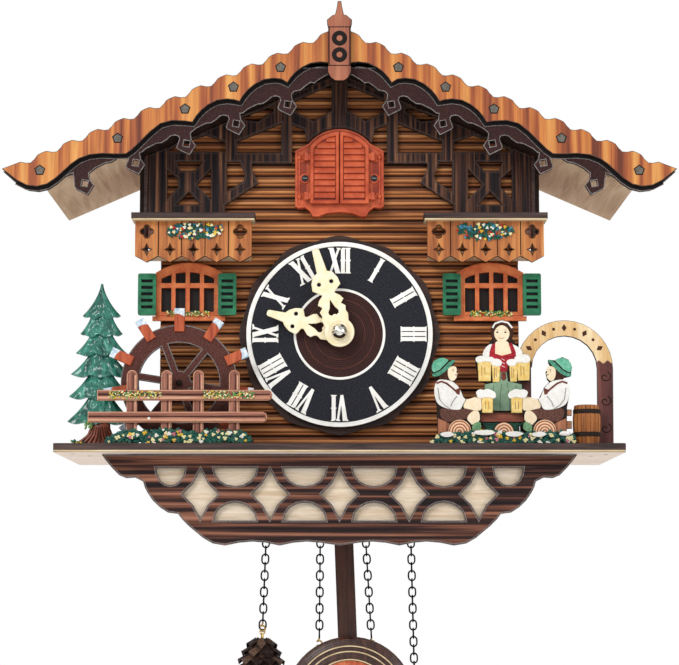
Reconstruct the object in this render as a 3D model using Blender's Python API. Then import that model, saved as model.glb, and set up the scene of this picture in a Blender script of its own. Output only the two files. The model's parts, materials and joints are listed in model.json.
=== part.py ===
"""Quartz cuckoo clock in chalet form, as separate pieces. Lengths below are in millimetres.

X runs to the right, Y into the wall and Z up. The origin is the nail that the keyhole hangs on, at
the wall face, so the whole clock lies at negative Y. Every piece is one closed body, and a moving
piece has its origin on its own joint axis.
"""

import math

import bmesh
import bpy
from mathutils import Matrix, Vector
from mathutils.geometry import delaunay_2d_cdt

for old in list(bpy.data.objects):
    bpy.data.objects.remove(old, do_unlink=True)

MM = 0.001
GAP = 0.3                                   # between glued pieces, kept open in the solids

# Roof: both slopes fall the same way from the ridge
SLOPE = 0.437
RIDGE_UNDER = 13.5                          # underside of the boards at the ridge
BOARD = 4.0
EAVE_X = 151.0
ROOF_FRONT = -107.7

# Case
WALL_X, UPPER_X = 93.5, 104.5
WALL_FRONT = -78.0
UPPER_FLOOR, LIP_LOW = -66.7, -84.5        # the front lip of each side hangs lower, behind the balcony
PLATFORM_TOP, PLATFORM_UNDER = -184.4, -188.9
PLATFORM_X, PLATFORM_FRONT = 143.5, -120.0
BASE = PLATFORM_TOP + GAP                   # what stands on the platform starts here

# Turning pieces
DIAL_Z, DIAL_R = -125.6, 48.4
MINUTE_ANGLE, HOUR_ANGLE = -16.3, -74.2     # degrees clockwise from twelve, as the hands stand
WHEEL_X, WHEEL_Z, WHEEL_R = -82.1, -152.1, 29.9
PIVOT_Z, BOB_DROP, SWING = -172.5, 143.6, 2.2
HINGE_X, HINGE_Y = 17.4, -85.3
CHAINS = ((-38.0, 2.1, 92.0), (-10.0, 0.5, 100.0), (11.6, -3.3, 100.0), (37.5, -1.3, 150.0))
CHAIN_Y, CHAIN_PIVOT_Z = -25.0, -186.6

DARK, BROWN, MID = (0.045, 0.022, 0.017), (0.10, 0.045, 0.03), (0.22, 0.09, 0.045)
ORANGE, TAN, CREAM = (0.47, 0.2, 0.075), (0.5, 0.36, 0.22), (0.74, 0.62, 0.44)

main = bpy.context.scene.collection
helpers = bpy.data.collections.new("helpers")
main.children.link(helpers)


def material(name, colour, rough=0.6, metal=0.0):
    mat = bpy.data.materials.get(name) or bpy.data.materials.new(name)
    mat.use_nodes = True
    shader = mat.node_tree.nodes["Principled BSDF"]
    shader.inputs["Base Color"].default_value = (*colour, 1)
    shader.inputs["Roughness"].default_value = rough
    shader.inputs["Metallic"].default_value = metal
    return mat


def finish(name, points, faces, colour, rough=0.6, metal=0.0, helper=False, smooth=False):
    mesh = bpy.data.meshes.new(name)
    mesh.from_pydata([Vector(p) * MM for p in points], [], faces)
    body = bmesh.new()
    body.from_mesh(mesh)
    bmesh.ops.recalc_face_normals(body, faces=body.faces)
    body.to_mesh(mesh)
    body.free()
    obj = bpy.data.objects.new(name, mesh)
    (helpers if helper else main).objects.link(obj)
    obj.hide_render = helper
    obj.display_type = "WIRE" if helper else "TEXTURED"
    if not helper:
        mesh.materials.append(material(name, colour, rough, metal))
    mesh.polygons.foreach_set("use_smooth", [smooth] * len(mesh.polygons))
    return obj


def inside(point, flat, ring):
    """Whether a point lies in the outline and in none of its holes."""
    crossings = 0
    for i, j in ring:
        (x0, z0), (x1, z1) = flat[i], flat[j]
        if (z0 > point.y) != (z1 > point.y):
            crossings += point.x < x0 + (point.y - z0) * (x1 - x0) / (z1 - z0)
    return crossings % 2 == 1


def plate(name, outline, front, thick, holes=(), colour=BROWN, **kw):
    """A flat board cut along an outline of (x, z) points, its front face at y = front."""
    loops = [list(outline)] + [list(hole) for hole in holes]
    for i, loop in enumerate(loops):
        area = sum(a[0] * b[1] - b[0] * a[1] for a, b in zip(loop, loop[1:] + loop[:1]))
        if (area > 0) != (i == 0):
            loop.reverse()
    flat = [p for loop in loops for p in loop]
    n = len(flat)
    points = [(x, front, z) for x, z in flat] + [(x, front + thick, z) for x, z in flat]
    faces = []
    ring, starts = [], 0
    for loop in loops:
        m = len(loop)
        ring += [(starts + i, starts + (i + 1) % m) for i in range(m)]
        starts += m
    corners, _, tris, origin, _, _ = delaunay_2d_cdt([Vector(p) for p in flat], ring, [], 0, 1e-7)
    for tri in tris:
        middle = sum((corners[i] for i in tri), Vector((0, 0))) / 3
        if not inside(middle, flat, ring):
            continue
        tri = [origin[i][0] for i in tri]
        a, b, c = (flat[i] for i in tri)
        turn = (b[0] - a[0]) * (c[1] - a[1]) - (b[1] - a[1]) * (c[0] - a[0])
        tri = tuple(tri) if turn > 0 else tuple(reversed(tri))
        faces += [tri, tuple(n + i for i in reversed(tri))]
    start = 0
    for loop in loops:
        m = len(loop)
        for i in range(m):
            a, b = start + i, start + (i + 1) % m
            faces.append((b, a, n + a, n + b))
        start += m
    return finish(name, points, faces, colour, **kw)


def box(name, low, high, colour=BROWN, **kw):
    return plate(
        name, [(low[0], low[2]), (high[0], low[2]), (high[0], high[2]), (low[0], high[2])],
        low[1], high[1] - low[1], colour=colour, **kw,
    )


def turned(name, profile, centre, axis="Y", sides=32, colour=BROWN, **kw):
    """A closed (radius, along) profile turned about an axis through centre."""
    frame = {"Y": ((1, 0, 0), (0, 0, -1), (0, 1, 0)), "Z": ((1, 0, 0), (0, 1, 0), (0, 0, 1)),
             "X": ((0, 1, 0), (0, 0, 1), (1, 0, 0))}[axis]
    u, v, w = (Vector(a) for a in frame)
    middle = Vector(centre)
    points, rings = [], []
    for r, along in profile:
        count = sides if r > 0 else 1
        rings.append(range(len(points), len(points) + count))
        for k in range(count):
            turn = 2 * math.pi * k / sides
            points.append(middle + w * along + (u * math.cos(turn) + v * math.sin(turn)) * r)
    faces = []
    pairs = list(zip(rings, rings[1:]))
    if profile[0][0] > 0 and profile[-1][0] > 0:
        pairs.append((rings[-1], rings[0]))
    for a, b in pairs:
        for k in range(sides if len(a) + len(b) > 2 else 0):
            j = (k + 1) % sides
            if len(a) == 1:
                faces.append((a[0], b[j], b[k]))
            elif len(b) == 1:
                faces.append((a[k], a[j], b[0]))
            else:
                faces.append((a[k], a[j], b[j], b[k]))
    kw.setdefault("smooth", True)
    return finish(name, points, faces, colour, **kw)


def combine(obj, *others, operation="UNION"):
    for other in others:
        step = obj.modifiers.new(f"{operation.lower()} {other.name}", "BOOLEAN")
        step.operation = operation
        step.object = other
        step.solver = "EXACT"
    return obj


def helper_box(name, low, high):
    return box(name, low, high, helper=True)


def helper_rod(name, r, x, z, y0, y1, sides=24):
    return turned(name, [(0, y0), (r, y0), (r, y1), (0, y1)], (x, 0, z), "Y", sides, helper=True)


def hang(obj, x, y, z, turn=0.0):
    """Moves the origin to a joint axis, and turns the piece about Y there (degrees, top to +X)."""
    middle = Vector((x, y, z)) * MM
    obj.data.transform(Matrix.Translation(-middle))
    if turn:
        obj.data.transform(Matrix.Rotation(math.radians(turn), 4, "Y"))
    obj.location = middle
    return obj


def mirrored(points, side):
    return [(x * -side, z) for x, z in points]


def circle(x, z, r, sides=24, start=0.0):
    return [(x + r * math.cos(start + 2 * math.pi * k / sides),
             z + r * math.sin(start + 2 * math.pi * k / sides)) for k in range(sides)]


def arc(x, z, r, first, last, steps):
    turns = [math.radians(first + (last - first) * k / steps) for k in range(steps + 1)]
    return [(x + r * math.cos(a), z + r * math.sin(a)) for a in turns]


def rounded(points, r, steps=3):
    """The outline with each corner turned into a short curve."""
    out = []
    for i, p in enumerate(points):
        a, b = Vector(points[i - 1]), Vector(points[(i + 1) % len(points)])
        p = Vector(p)
        start = p + (a - p).normalized() * min(r, (a - p).length * 0.45)
        end = p + (b - p).normalized() * min(r, (b - p).length * 0.45)
        for k in range(steps + 1):
            t = k / steps
            out.append(tuple(start * (1 - t) ** 2 + p * 2 * t * (1 - t) + end * t * t))
    return out


def under(x):
    """Height of the roof's underside at x."""
    return RIDGE_UNDER - SLOPE * abs(x)


# ---------------------------------------------------------------- case
def house(lower, upper, top_gap):
    """Front view of the case: narrow below, wider above, gable on top."""
    right = [(lower, BASE), (lower, UPPER_FLOOR), (upper, UPPER_FLOOR),
             (upper, under(upper) - top_gap)]
    return right + [(0, under(0) - top_gap)] + [(-x, z) for x, z in reversed(right)]


CELLS_X, CELL_R, CELL_L = 61.0, 13.0, 50.0
CELLS_Z = (-131.7, -160.3)
SPEAKER_X, SPEAKER_Z = -52.0, -72.0
keyhole = arc(0, -9, 4, 120, 420, 14) + arc(0, 0, 2, 0, 180, 6)
hatch = [(CELLS_X - 25.5, -173.6), (CELLS_X + 25.5, -173.6), (CELLS_X + 25.5, -118.4),
         (CELLS_X - 25.5, -118.4)]
grille = [circle(SPEAKER_X + 10 * math.cos(a), SPEAKER_Z + 10 * math.sin(a), 2.2, 12)
          for a in (math.radians(60 * k) for k in range(6))]
grille.append(circle(SPEAKER_X, SPEAKER_Z, 2.2, 12))
plate("back_panel", house(93.2, 104.3, GAP), -3, 3,
      [keyhole, hatch, circle(0, DIAL_Z, 12)] + grille, colour=TAN)

door_hole = [(-15.5, -58), (15.5, -58), (15.5, -28), (8, -22), (-8, -22), (-15.5, -28)]
window_holes = [[(s * 93, -113.7), (s * 64.5, -113.7), (s * 64.5, -92), (s * 93, -92)] for s in (-1, 1)]
plate("front_wall", house(WALL_X, 100.2, GAP), WALL_FRONT, 3,
      [door_hole, circle(0, DIAL_Z, 5), circle(WHEEL_X, WHEEL_Z, 2.2, 16)] + window_holes,
      colour=ORANGE)

for side, letter in ((1, "l"), (-1, "r")):
    step = [(-WALL_X, BASE), (-90.2, BASE), (-90.2, UPPER_FLOOR + 3.3), (-100.5, UPPER_FLOOR + 3.3),
            (-100.5, under(100.5) - GAP), (-UPPER_X, under(UPPER_X) - GAP),
            (-UPPER_X, UPPER_FLOOR), (-WALL_X, UPPER_FLOOR)]
    wall = plate(f"side_{letter}", mirrored(step, -side), -74.7, 71.4, colour=DARK)
    lip = [(-UPPER_X, LIP_LOW), (-100.5, LIP_LOW), (-100.5, under(100.5) - GAP),
           (-UPPER_X, under(UPPER_X) - GAP)]
    combine(wall, plate(f"lip_{letter}", mirrored(lip, -side), -81.3, 7.6, helper=True))
    slope = [(-0.15, RIDGE_UNDER), (-0.15, RIDGE_UNDER + BOARD * 1.09),
             (-EAVE_X - BOARD * 0.4, under(EAVE_X) + BOARD * 0.92), (-EAVE_X, under(EAVE_X))]
    plate(f"roof_{letter}", mirrored(slope, -side), ROOF_FRONT, -1 - ROOF_FRONT, colour=TAN)

platform = plate(
    "platform",
    rounded([(-PLATFORM_X, -PLATFORM_FRONT), (-PLATFORM_X, 0), (PLATFORM_X, 0),
             (PLATFORM_X, -PLATFORM_FRONT)], 3),
    0, PLATFORM_TOP - PLATFORM_UNDER, colour=CREAM,
    holes=[[(-10, 42), (10, 42), (10, 60), (-10, 60)]]
    + [[(WHEEL_X - 22, 93.5), (WHEEL_X + 22, 93.5), (WHEEL_X + 22, 99.6), (WHEEL_X - 22, 99.6)]]
    + [circle(x, -CHAIN_Y, 4.5) for x, _, _ in CHAINS],
)
# drawn standing, laid flat: the outline's second number becomes the depth
platform.data.transform(Matrix.Rotation(math.radians(90), 4, "X"))
platform.data.transform(Matrix.Translation((0, 0, PLATFORM_UNDER * MM)))

# ---------------------------------------------------------------- apron below the platform
half = [(-120.6, -189.2), (-119, -191.5), (-115.2, -196.1), (-111.5, -199.8), (-108.1, -201.2),
        (-103.5, -200.9), (-99.4, -203), (-98.6, -205.8), (-97.1, -208.7), (-94.4, -212.6),
        (-90.7, -216.1), (-86.8, -218.6), (-81.6, -219.3), (-79.6, -222), (-76.2, -225.4),
        (-72.8, -228.2), (-68.9, -231.4), (-64, -234.2), (-57.8, -235.2)]
WAVE = 27.5                                 # one arch of the bottom edge
edge = list(half)
for k in range(-2, 0):
    cusp = k * WAVE
    edge += [(cusp - WAVE * 0.1 + WAVE * t, -235.2 + 2.0 * math.sin(math.pi * t))
             for t in (0.25, 0.5, 0.75, 1.0)]
edge = edge[:-1] + [(0, -235.2)]
outline = edge + [(-x, z) for x, z in reversed(edge[:-1])]
PITCH, ROW = 35.2, -209.3                   # of the diamonds


def diamond(x, half_width=9.1, half_height=12.4):
    tips = [(x - half_width, ROW), (x, ROW + half_height), (x + half_width, ROW), (x, ROW - half_height)]
    points = []
    for a, b in zip(tips, tips[1:] + tips[:1]):
        bow = (Vector(a) + Vector(b)) / 2 * 0.84 + Vector((x, ROW)) * 0.16
        points += [a, tuple(Vector(a) * 0.5 + bow * 0.5 + (Vector(b) - Vector(a)) * 0.02), tuple(bow),
                   tuple(Vector(b) * 0.5 + bow * 0.5 - (Vector(b) - Vector(a)) * 0.02)]
    return points


def half_moon(x, z, width, depth, steps=8):
    turns = [math.pi * k / steps for k in range(steps + 1)]
    return [(x + width / 2 * math.cos(t), z - depth * math.sin(t)) for t in turns]


cuts = [diamond(k * PITCH) for k in range(-2, 3)]
cuts += [half_moon(k * PITCH, -196.1, 21.6, 9.1) for k in (-1.5, -0.5, 0.5, 1.5)]
cuts += [half_moon(s * 85.6, -196.1, 14.6, 8.7) for s in (-1, 1)]
cuts += [half_moon(k * PITCH, -222.6, 21.2, -9.1) for k in (-1.5, -0.5, 0.5, 1.5)]
plate("apron", outline, -105.3, 3, cuts, colour=DARK)
plate("apron_backing", [(-108, -189.2), (-104, -198), (-92, -206), (-84, -216), (-74, -222),
                        (-66, -230), (66, -230), (74, -222), (84, -216), (92, -206), (104, -198),
                        (108, -189.2)], -102, 2, colour=CREAM)

# ---------------------------------------------------------------- fascia
CUSP_X, CUSP_Z, CUSP_PITCH, CUSP_RISE, CUSPS = -162.8, -40.4, 13.1, 5.675, 12
SCALLOP = ((0, 0), (3.1, -0.6), (5.3, -0.4), (7.2, 1.5), (8.7, 3.6), (10.4, 4.6))
SWEEP = ((-172.2, -44.0), (-164.7, -49.9), (-159.5, -52.6), (-154.2, -53.2), (-149.1, -52.0),
         (-144.6, -48.9), (-140.7, -45.3), (-136.9, -41.7), (-133.0, -38.9), (-127.8, -36.9),
         (-121.3, -36.2), (-114.8, -36.5), (-108.9, -36.4), (-105.7, -34.0), (-101.8, -30.1),
         (-96.6, -24.8), (-91.5, -20.7), (-85.6, -19.1), (-79.0, -19.4))
LOBE = ((0, 0), (1.9, 3.2), (4.4, 6.2), (7.8, 9.0), (12.4, 11.4), (17.5, 12.1), (21.5, 11.6))
LOBE_X, LOBE_Z = (-75.1, -51.1, -26.7), (-20.0, -9.2, 0.5)
BAND = 2.0                                  # dark edge showing below the shingles
PENDANTS = ((-130.5, -51.2), (-104.5, -40.6), (-78.6, -30.6), (-53.3, -20.2), (-26.9, -10.2))
DROP = ((-4.9, -1.6), (-4.2, -2.8), (1.9, -5.8), (5.1, -0.8), (2.8, 2.4), (2.4, 5.4))
WAVE_TO_DROP = ((-22.7, -4.5), (-20.2, -2.4), (-16.9, -0.7), (-15.0, 0.2), (-12.4, 0.5), (-9.8, 2.2),
                (-7.9, 4.0), (-5.9, 4.5), (-4.0, 4.0), (-3.4, 2.6))
WAVE_TO_RIDGE = ((3.7, 6.9), (7.0, 7.6), (8.9, 9.3), (12.1, 11.6), (14.1, 11.2), (16.0, 12.9),
                 (20.5, 15.6))


def cusp_line(x):
    return CUSP_Z + (x - CUSP_X) * CUSP_RISE / CUSP_PITCH


def strip_edge():
    """Lower edge of the shingle strip, from the eave's tip to the ridge."""
    points = list(SWEEP)
    for x, z in zip(LOBE_X, LOBE_Z):
        scale = 0.97 if x > -30 else 1
        points += [(x + a * scale, z + b * (1 if x < -30 else 0.9)) for a, b in LOBE]
    return points + [(-0.3, 11.0)]


def fret_edge():
    """Lower edge of the dark fretwork: a band at the eave, then drops with a wavy edge between them."""
    first = PENDANTS[0][0] - 7.2
    points = [(-172.0, -44.9)] + [(x + 0.6, z - BAND) for x, z in SWEEP[1:] if x + 0.6 < first]
    for k, (x, z) in enumerate(PENDANTS):
        lead = WAVE_TO_DROP if k else ((-5.8, 5.5), (-5.2, 2.0))
        points += [(x + a, z + b) for a, b in lead + DROP]
    return points + [(x + a, z + b) for a, b in WAVE_TO_RIDGE] + [(-0.3, 6.5)]


for side, letter in ((1, "l"), (-1, "r")):
    top = [(CUSP_X + k * CUSP_PITCH + a, CUSP_Z + k * CUSP_RISE + b)
           for k in range(CUSPS) for a, b in SCALLOP]
    top += [(-5.6, 27.7), (-0.3, 29.5)]
    strip = list(reversed(top)) + strip_edge()
    plate(f"shingles_{letter}", mirrored(strip, -side), -114.3, 3, colour=ORANGE)
    back = [(-0.3, 20.0), (-160, cusp_line(-160) - 5.5), (-168.5, -44.5)]
    fret = back + fret_edge()
    squares = [circle(px + 0.3, pz + 0.2, 2.1, 4, math.radians(35)) for px, pz in PENDANTS]
    plate(f"fascia_{letter}", mirrored(fret, -side), -111, 3,
          [mirrored(s, -side) for s in squares], colour=DARK)

spire = [(0.9, 42.4), (1.3, 39.5), (2.2, 35.4), (3.6, 35.0), (6.4, 32.6), (6.3, 30.8), (5.8, 28.8),
         (5.8, 8.7), (6.1, 8.2), (5.9, 5.0), (4.4, 2.2), (2.2, 0.7)]
plate("finial", spire + [(-x, z) for x, z in reversed(spire)], -118.3, 3.7, colour=MID)

# ---------------------------------------------------------------- gable fretwork
DOOR_Z, DOOR_ARC = -38.0, 20.8              # centre and radius of the door's arched top
left = [(-100.2, -62.0), (-59.9, -62.0), (-59.9, -57.4), (-42.4, -45.6), (-46.0, -37.8),
        (-46.0, -35.1), (-24.9, -35.1), (-24.9, -14.4), (-18.6, -17.0)]
left += arc(0, DOOR_Z, DOOR_ARC + 0.9, 141, 90, 6)
panel = left + [(-x, z) for x, z in reversed(left[:-1])]
panel += [(100.2, under(100.2) - GAP), (0, under(0) - GAP), (-100.2, under(100.2) - GAP)]
slots = [
    [(-53.7, -29.3), (-53.8, -23.4), (-30.7, -13.8), (-30.7, -29.3)],
    [(-23.5, -1.5), (-4.2, 7.0), (-4.2, -7.0), (-13.7, -12.4), (-23.5, -7.4)],
    [(-51.0, -10.4), (-34.9, -4.2), (-34.9, -7.2), (-42.7, -12.6), (-48.9, -12.0)],
    [(-89.9, -28.8), (-90.0, -28.0), (-78.0, -22.3), (-70.1, -20.0), (-60.1, -23.7), (-60.0, -28.8)],
    [(-59.0, -34.4), (-52.5, -34.4), (-49.7, -41.0), (-50.2, -44.2), (-58.9, -50.2)],
    [(-85.6, -34.3), (-71.8, -34.3), (-76.0, -39.1), (-83.4, -39.1)],
    [(-90.3, -38.4), (-84.6, -43.4), (-84.6, -47.9), (-90.3, -53.8)],
    [(-67.4, -38.1), (-74.7, -46.2), (-73.4, -48.2), (-67.4, -54.0)],
    [(-85.4, -57.0), (-78.8, -50.2), (-72.8, -57.0)],
]
slots += [[(-x, z) for x, z in s] for s in slots]
plate("gable", panel, -81.3, 3, slots, colour=DARK)

# ---------------------------------------------------------------- balconies and windows
PICKET, PICKETS = 12.0, 5
BALCONY_X = (-105.1, -45.2)


def clover(x, z, r=1.35, off=1.95):
    """Four round lobes that meet in the middle."""
    return [p for k in range(4) for p in arc(x + off * math.cos(math.pi / 2 * k),
                                             z + off * math.sin(math.pi / 2 * k), r,
                                             90 * k - 125, 90 * k + 125, 8)]


def star(x, z):
    return [(x + a, z + b) for a, b in ((0, 3), (0.7, 0.7), (2.3, 0), (0.7, -0.7), (0, -3),
                                         (-0.7, -0.7), (-2.3, 0), (-0.7, 0.7))]


for side, letter in ((1, "l"), (-1, "r")):
    bottom = []
    for k in range(PICKETS):
        x = BALCONY_X[0] + PICKET * k
        bottom += [(x, -86.8), (x + PICKET / 2, -90.1)]
    board = [(BALCONY_X[0], -66.5)] + bottom + [(BALCONY_X[1], -86.8), (BALCONY_X[1], -66.5)]
    middles = [BALCONY_X[0] + PICKET * (k + 0.5) for k in range(PICKETS)]
    pierced = [clover(x, -74.3) for x in (middles[0], middles[-1])] + [star(x, -83.6) for x in middles]
    balcony = plate(f"balcony_{letter}", mirrored(board, -side), -100.5, 3,
                    [mirrored(p, -side) for p in pierced], colour=MID)
    rail = box(f"rail_{letter}", (min(-106.8 * side, -43.3 * side), -105.5, -68.3),
               (max(-106.8 * side, -43.3 * side), -90, -65.0), helper=True)
    floor = box(f"floor_{letter}", (min(-99.8 * side, -46 * side), -98, -86.5),
                (max(-99.8 * side, -46 * side), WALL_FRONT - GAP, -84), helper=True)
    combine(balcony, rail, floor)

    frame = [(-95.9, -117.8), (-60.9, -117.8), (-60.9, -93.0)]
    frame += arc(-78.4, -119.0, 31.3, 57, 123, 8) + [(-95.9, -93.0)]
    panes = []
    for k in range(4):
        x0 = -92.9 + k * 7.4
        crown = [(x0 + w, -122.4 + math.sqrt(29.8 ** 2 - (x0 + w + 79.0) ** 2)) for w in (5.3, 2.65, 0)]
        panes += [[(x0, -113.6), (x0 + 5.3, -113.6), (x0 + 5.3, -101), (x0, -101)],
                  [(x0, -98.5), (x0 + 5.3, -98.5)] + crown]
    window = plate(f"window_{letter}", mirrored(frame, -side), -81.3, 3,
                   [mirrored(p, -side) for p in panes], colour=ORANGE)
    sill = box(f"sill_{letter}", (min(-97.4 * side, -59.6 * side), -81.5, -118.2),
               (max(-97.4 * side, -59.6 * side), WALL_FRONT - GAP, -115.9), helper=True)
    combine(window, sill)
    for n, x in (("outer", -100.1), ("inner", -58.4)):
        shutter = rounded([(x - 4.7, -115.6), (x + 4.7, -115.6), (x + 4.7, -93.8), (x - 4.7, -93.8)], 1, 2)
        louvres = [[(x - 3, z - 0.8), (x + 3, z - 0.8), (x + 3, z + 0.8), (x - 3, z + 0.8)]
                   for z in (-97.8 - 3.4 * k for k in range(5))]
        plate(f"shutter_{letter}_{n}", mirrored(shutter, -side), -84.6, 3,
              [mirrored(s, -side) for s in louvres], colour=(0.02, 0.19, 0.1))

# ---------------------------------------------------------------- dial and hands
lobes = []
for k in range(72):
    a = 2 * math.pi * k / 72
    r = 51.4 + 0.9 * math.cos(12 * a)
    lobes.append((r * math.cos(a), DIAL_Z + r * math.sin(a)))
plate("dial_backing", lobes, -81.3, 3, [circle(0, DIAL_Z, 5)], colour=DARK)
plate("dial", circle(0, DIAL_Z, DIAL_R, 64), -84.6, 3, [circle(0, DIAL_Z, 5)], colour=(0.02, 0.02, 0.024))

HAND = (0.86, 0.78, 0.6)
minute = [(6.2, 0), (7.0, 8.2), (6.3, 10.2), (6.9, 12.4), (5.0, 14.4), (6.9, 16.2), (5.6, 18.4), (3.2, 20.5),
          (5.5, 22.5), (7.5, 24.0), (7.0, 27.8), (5.2, 31.2), (2.7, 32.4), (1.9, 44.0), (1.2, 45.0)]
hour = [(5.4, 0), (5.9, 8.6), (4.7, 10.6), (4.9, 12.0), (6.3, 13.8), (5.6, 15.8), (3.2, 18.4), (3.3, 19.6),
        (5.6, 20.6), (7.0, 21.6), (6.2, 25.4), (4.4, 28.2), (2.5, 29.8), (1.6, 38.2), (1.0, 38.9)]
SPADE = ((0, 7.9), (1.3, 3.7), (2.7, 1.5), (2.5, 0.2), (1.3, -0.5), (0, 0.1))


def hand(name, shape, hub, front, turn, bore, spade, eyes):
    base = math.degrees(math.asin(min(1, shape[0][0] / hub)))
    ring = arc(0, 0, hub, 90 + base, 450 - base, 20)
    right = [(x, z) for x, z in shape[1:]]
    outline = ring + right + [(-x, z) for x, z in reversed(right)]
    outline = [(x, z + DIAL_Z) for x, z in outline]
    pierced = [(x, z + DIAL_Z + spade) for x, z in SPADE + tuple((-x, z) for x, z in reversed(SPADE[1:-1]))]
    holes = [circle(s * eyes[0], DIAL_Z + eyes[1], 1.1, 10) for s in (-1, 1)]
    obj = plate(name, outline, front, 1.2, [circle(0, DIAL_Z, bore, 24), pierced] + holes, colour=HAND)
    return hang(obj, 0, front, DIAL_Z, turn)


hour_hand = hand("hour_hand", hour, 7.0, -91.2, HOUR_ANGLE, 1.6, 9.2, (3.4, 24.3))
pipe = turned("pipe", [(1.6, -90.6), (2.7, -90.6), (2.7, -72), (1.6, -72)], (0, 0, DIAL_Z),
              sides=24, helper=True)
combine(hour_hand, pipe)
hand("minute_hand", minute, 7.7, -94.6, MINUTE_ANGLE, 1.4, 9.7, (3.3, 26.5))
arbor = turned("arbor", [(0, -96.6), (1.25, -96.6), (1.25, -35.6), (7, -35.6), (7, -30), (0, -30)],
               (0, 0, DIAL_Z), sides=24, colour=(0.7, 0.55, 0.3), metal=1.0, rough=0.3)
hang(arbor, 0, -35, DIAL_Z)
nut = turned("hand_nut", [(1.4, -94.9), (4.2, -94.9), (4.2, -96.6), (3.8, -98.6), (2.4, -100.4), (0, -101),
                          (0, -97.2), (1.4, -97.2)],
             (0, 0, DIAL_Z), sides=24, colour=(0.8, 0.66, 0.36), metal=1.0, rough=0.2)
hang(nut, 0, -95, DIAL_Z)

# ---------------------------------------------------------------- cuckoo door and bird
crown = arc(0, DOOR_Z, DOOR_ARC, 38.4, 141.6, 12)
foot = [(23.2, -58.4), (21.6, -59.4), (18.0, -59.0), (15.6, -60.8), (13.9, -63.8), (11.0, -63.8), (6.9, -62.1)]
frame = [(23.2, -28.9)] + crown + [(-23.2, -28.9)] + [(-x, z) for x, z in foot] + [(0, -61.3)] + foot[::-1]
opening = [(-14.4, -56.6), (14.4, -56.6)] + arc(0, DOOR_Z, 17.4, 34, 146, 10)
door_frame = plate("door_frame", frame, -83.3, 5, [opening], colour=(0.56, 0.13, 0.06))
for side in (-1, 1):
    screw = helper_rod(f"screw_{side}", 1.9, side * 18.1, -43.6, -84.2, -82, 16)
    combine(door_frame, screw)
for side, letter in ((-1, "l"), (1, "r")):
    leaf = [(0.25, -57.3), (15.4, -57.3)] + arc(0, DOOR_Z, 19.0, 35.9, 89.2, 6)
    door = plate(f"door_{letter}", mirrored(leaf, -side), -86.4, 2.2, colour=(0.6, 0.15, 0.07))
    for n, z in (("top", -32.4), ("low", -53.2)):
        x = sorted((side * 14.5, side * HINGE_X))
        tab = helper_box(f"tab_{letter}_{n}", (x[0], -86.2, z - 1.6), (x[1], -84.6, z + 1.6))
        pin = turned(f"knuckle_{letter}_{n}", [(0, -2.2), (1.5, -2.2), (1.5, 2.2), (0, 2.2)],
                     (side * HINGE_X, HINGE_Y, z), "Z", 12, helper=True)
        combine(door, tab, pin)
    hang(door, side * HINGE_X, HINGE_Y, -42)

bird = turned("cuckoo", [(0, -75.5), (0.9, -73.8), (1.6, -72.4), (4.2, -71.4), (5.2, -69.3), (4.8, -67.2),
                         (6.0, -65.0), (6.8, -62.2), (6.0, -59.2), (3.8, -57.2), (1.8, -55.0), (0, -52.6)],
              (0, 0, -44.0), sides=20, colour=(0.16, 0.09, 0.06))
hang(bird, 0, -64, -44)
carriage = turned("cuckoo_carriage", [(0, -70), (1.4, -70), (1.4, -12), (0, -12)], (0, 0, -54.4), sides=16,
                  colour=(0.75, 0.74, 0.7))
combine(carriage, helper_box("perch", (-1.5, -66, -54.6), (1.5, -62, -51.3)))
hang(carriage, 0, -64, -54.4)

# ---------------------------------------------------------------- works inside the case
housing = [(-30, -158), (30, -158), (30, -97), (-30, -97)]
movement = plate("movement", housing, -71.5, 33.5, [circle(0, DIAL_Z, 1.35, 20)], colour=(0.03, 0.03, 0.032))
tower = [(-8, -99), (8, -99), (8, -47), (-8, -47)]
combine(movement,
        turned("sleeve", [(2.8, -88.5), (4.6, -88.5), (4.6, -71), (2.8, -71)], (0, 0, DIAL_Z), sides=24,
               helper=True),
        plate("tower", tower, -50, 11.6, [circle(0, -54.4, 1.5, 16)], helper=True),
        helper_box("drive", (-14, -46, -181), (14, -38.8, -156)),
        helper_rod("pivot_pin", 1.4, 0, PIVOT_Z, -54.5, -45))

tray = [(CELLS_X - 27.6, -175.5), (CELLS_X + 27.6, -175.5), (CELLS_X + 27.6, -116.5),
        (CELLS_X - 27.6, -116.5)]
holder = plate("battery_holder", tray, -34.5, 31.2, colour=(0.04, 0.04, 0.045))
combine(holder, helper_box("cell_room", (CELLS_X - 25.6, -32.6, -173.9), (CELLS_X + 25.6, 0, -118.1)),
        operation="DIFFERENCE")
for k, z in enumerate(CELLS_Z):
    turned(f"cell_{k + 1}", [(0, -25), (CELL_R, -25), (CELL_R, 23.2), (3.4, 23.2), (3.4, 25), (0, 25)],
           (CELLS_X, -18.8, z), "X", 24, colour=(0.12, 0.12, 0.13))
turned("speaker", [(0, -26), (13, -26), (13, -18), (24, -8), (25, -7), (25, -3.6), (0, -3.6)],
       (SPEAKER_X, 0, SPEAKER_Z), sides=32, colour=(0.05, 0.05, 0.055))
motor = [(-89.6, -160), (-74.6, -160), (-74.6, -145), (-89.6, -145)]
plate("wheel_motor", motor, -74.4, 18.4, [circle(WHEEL_X, WHEEL_Z, 1.6, 16)], colour=(0.35, 0.35, 0.33))

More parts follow.
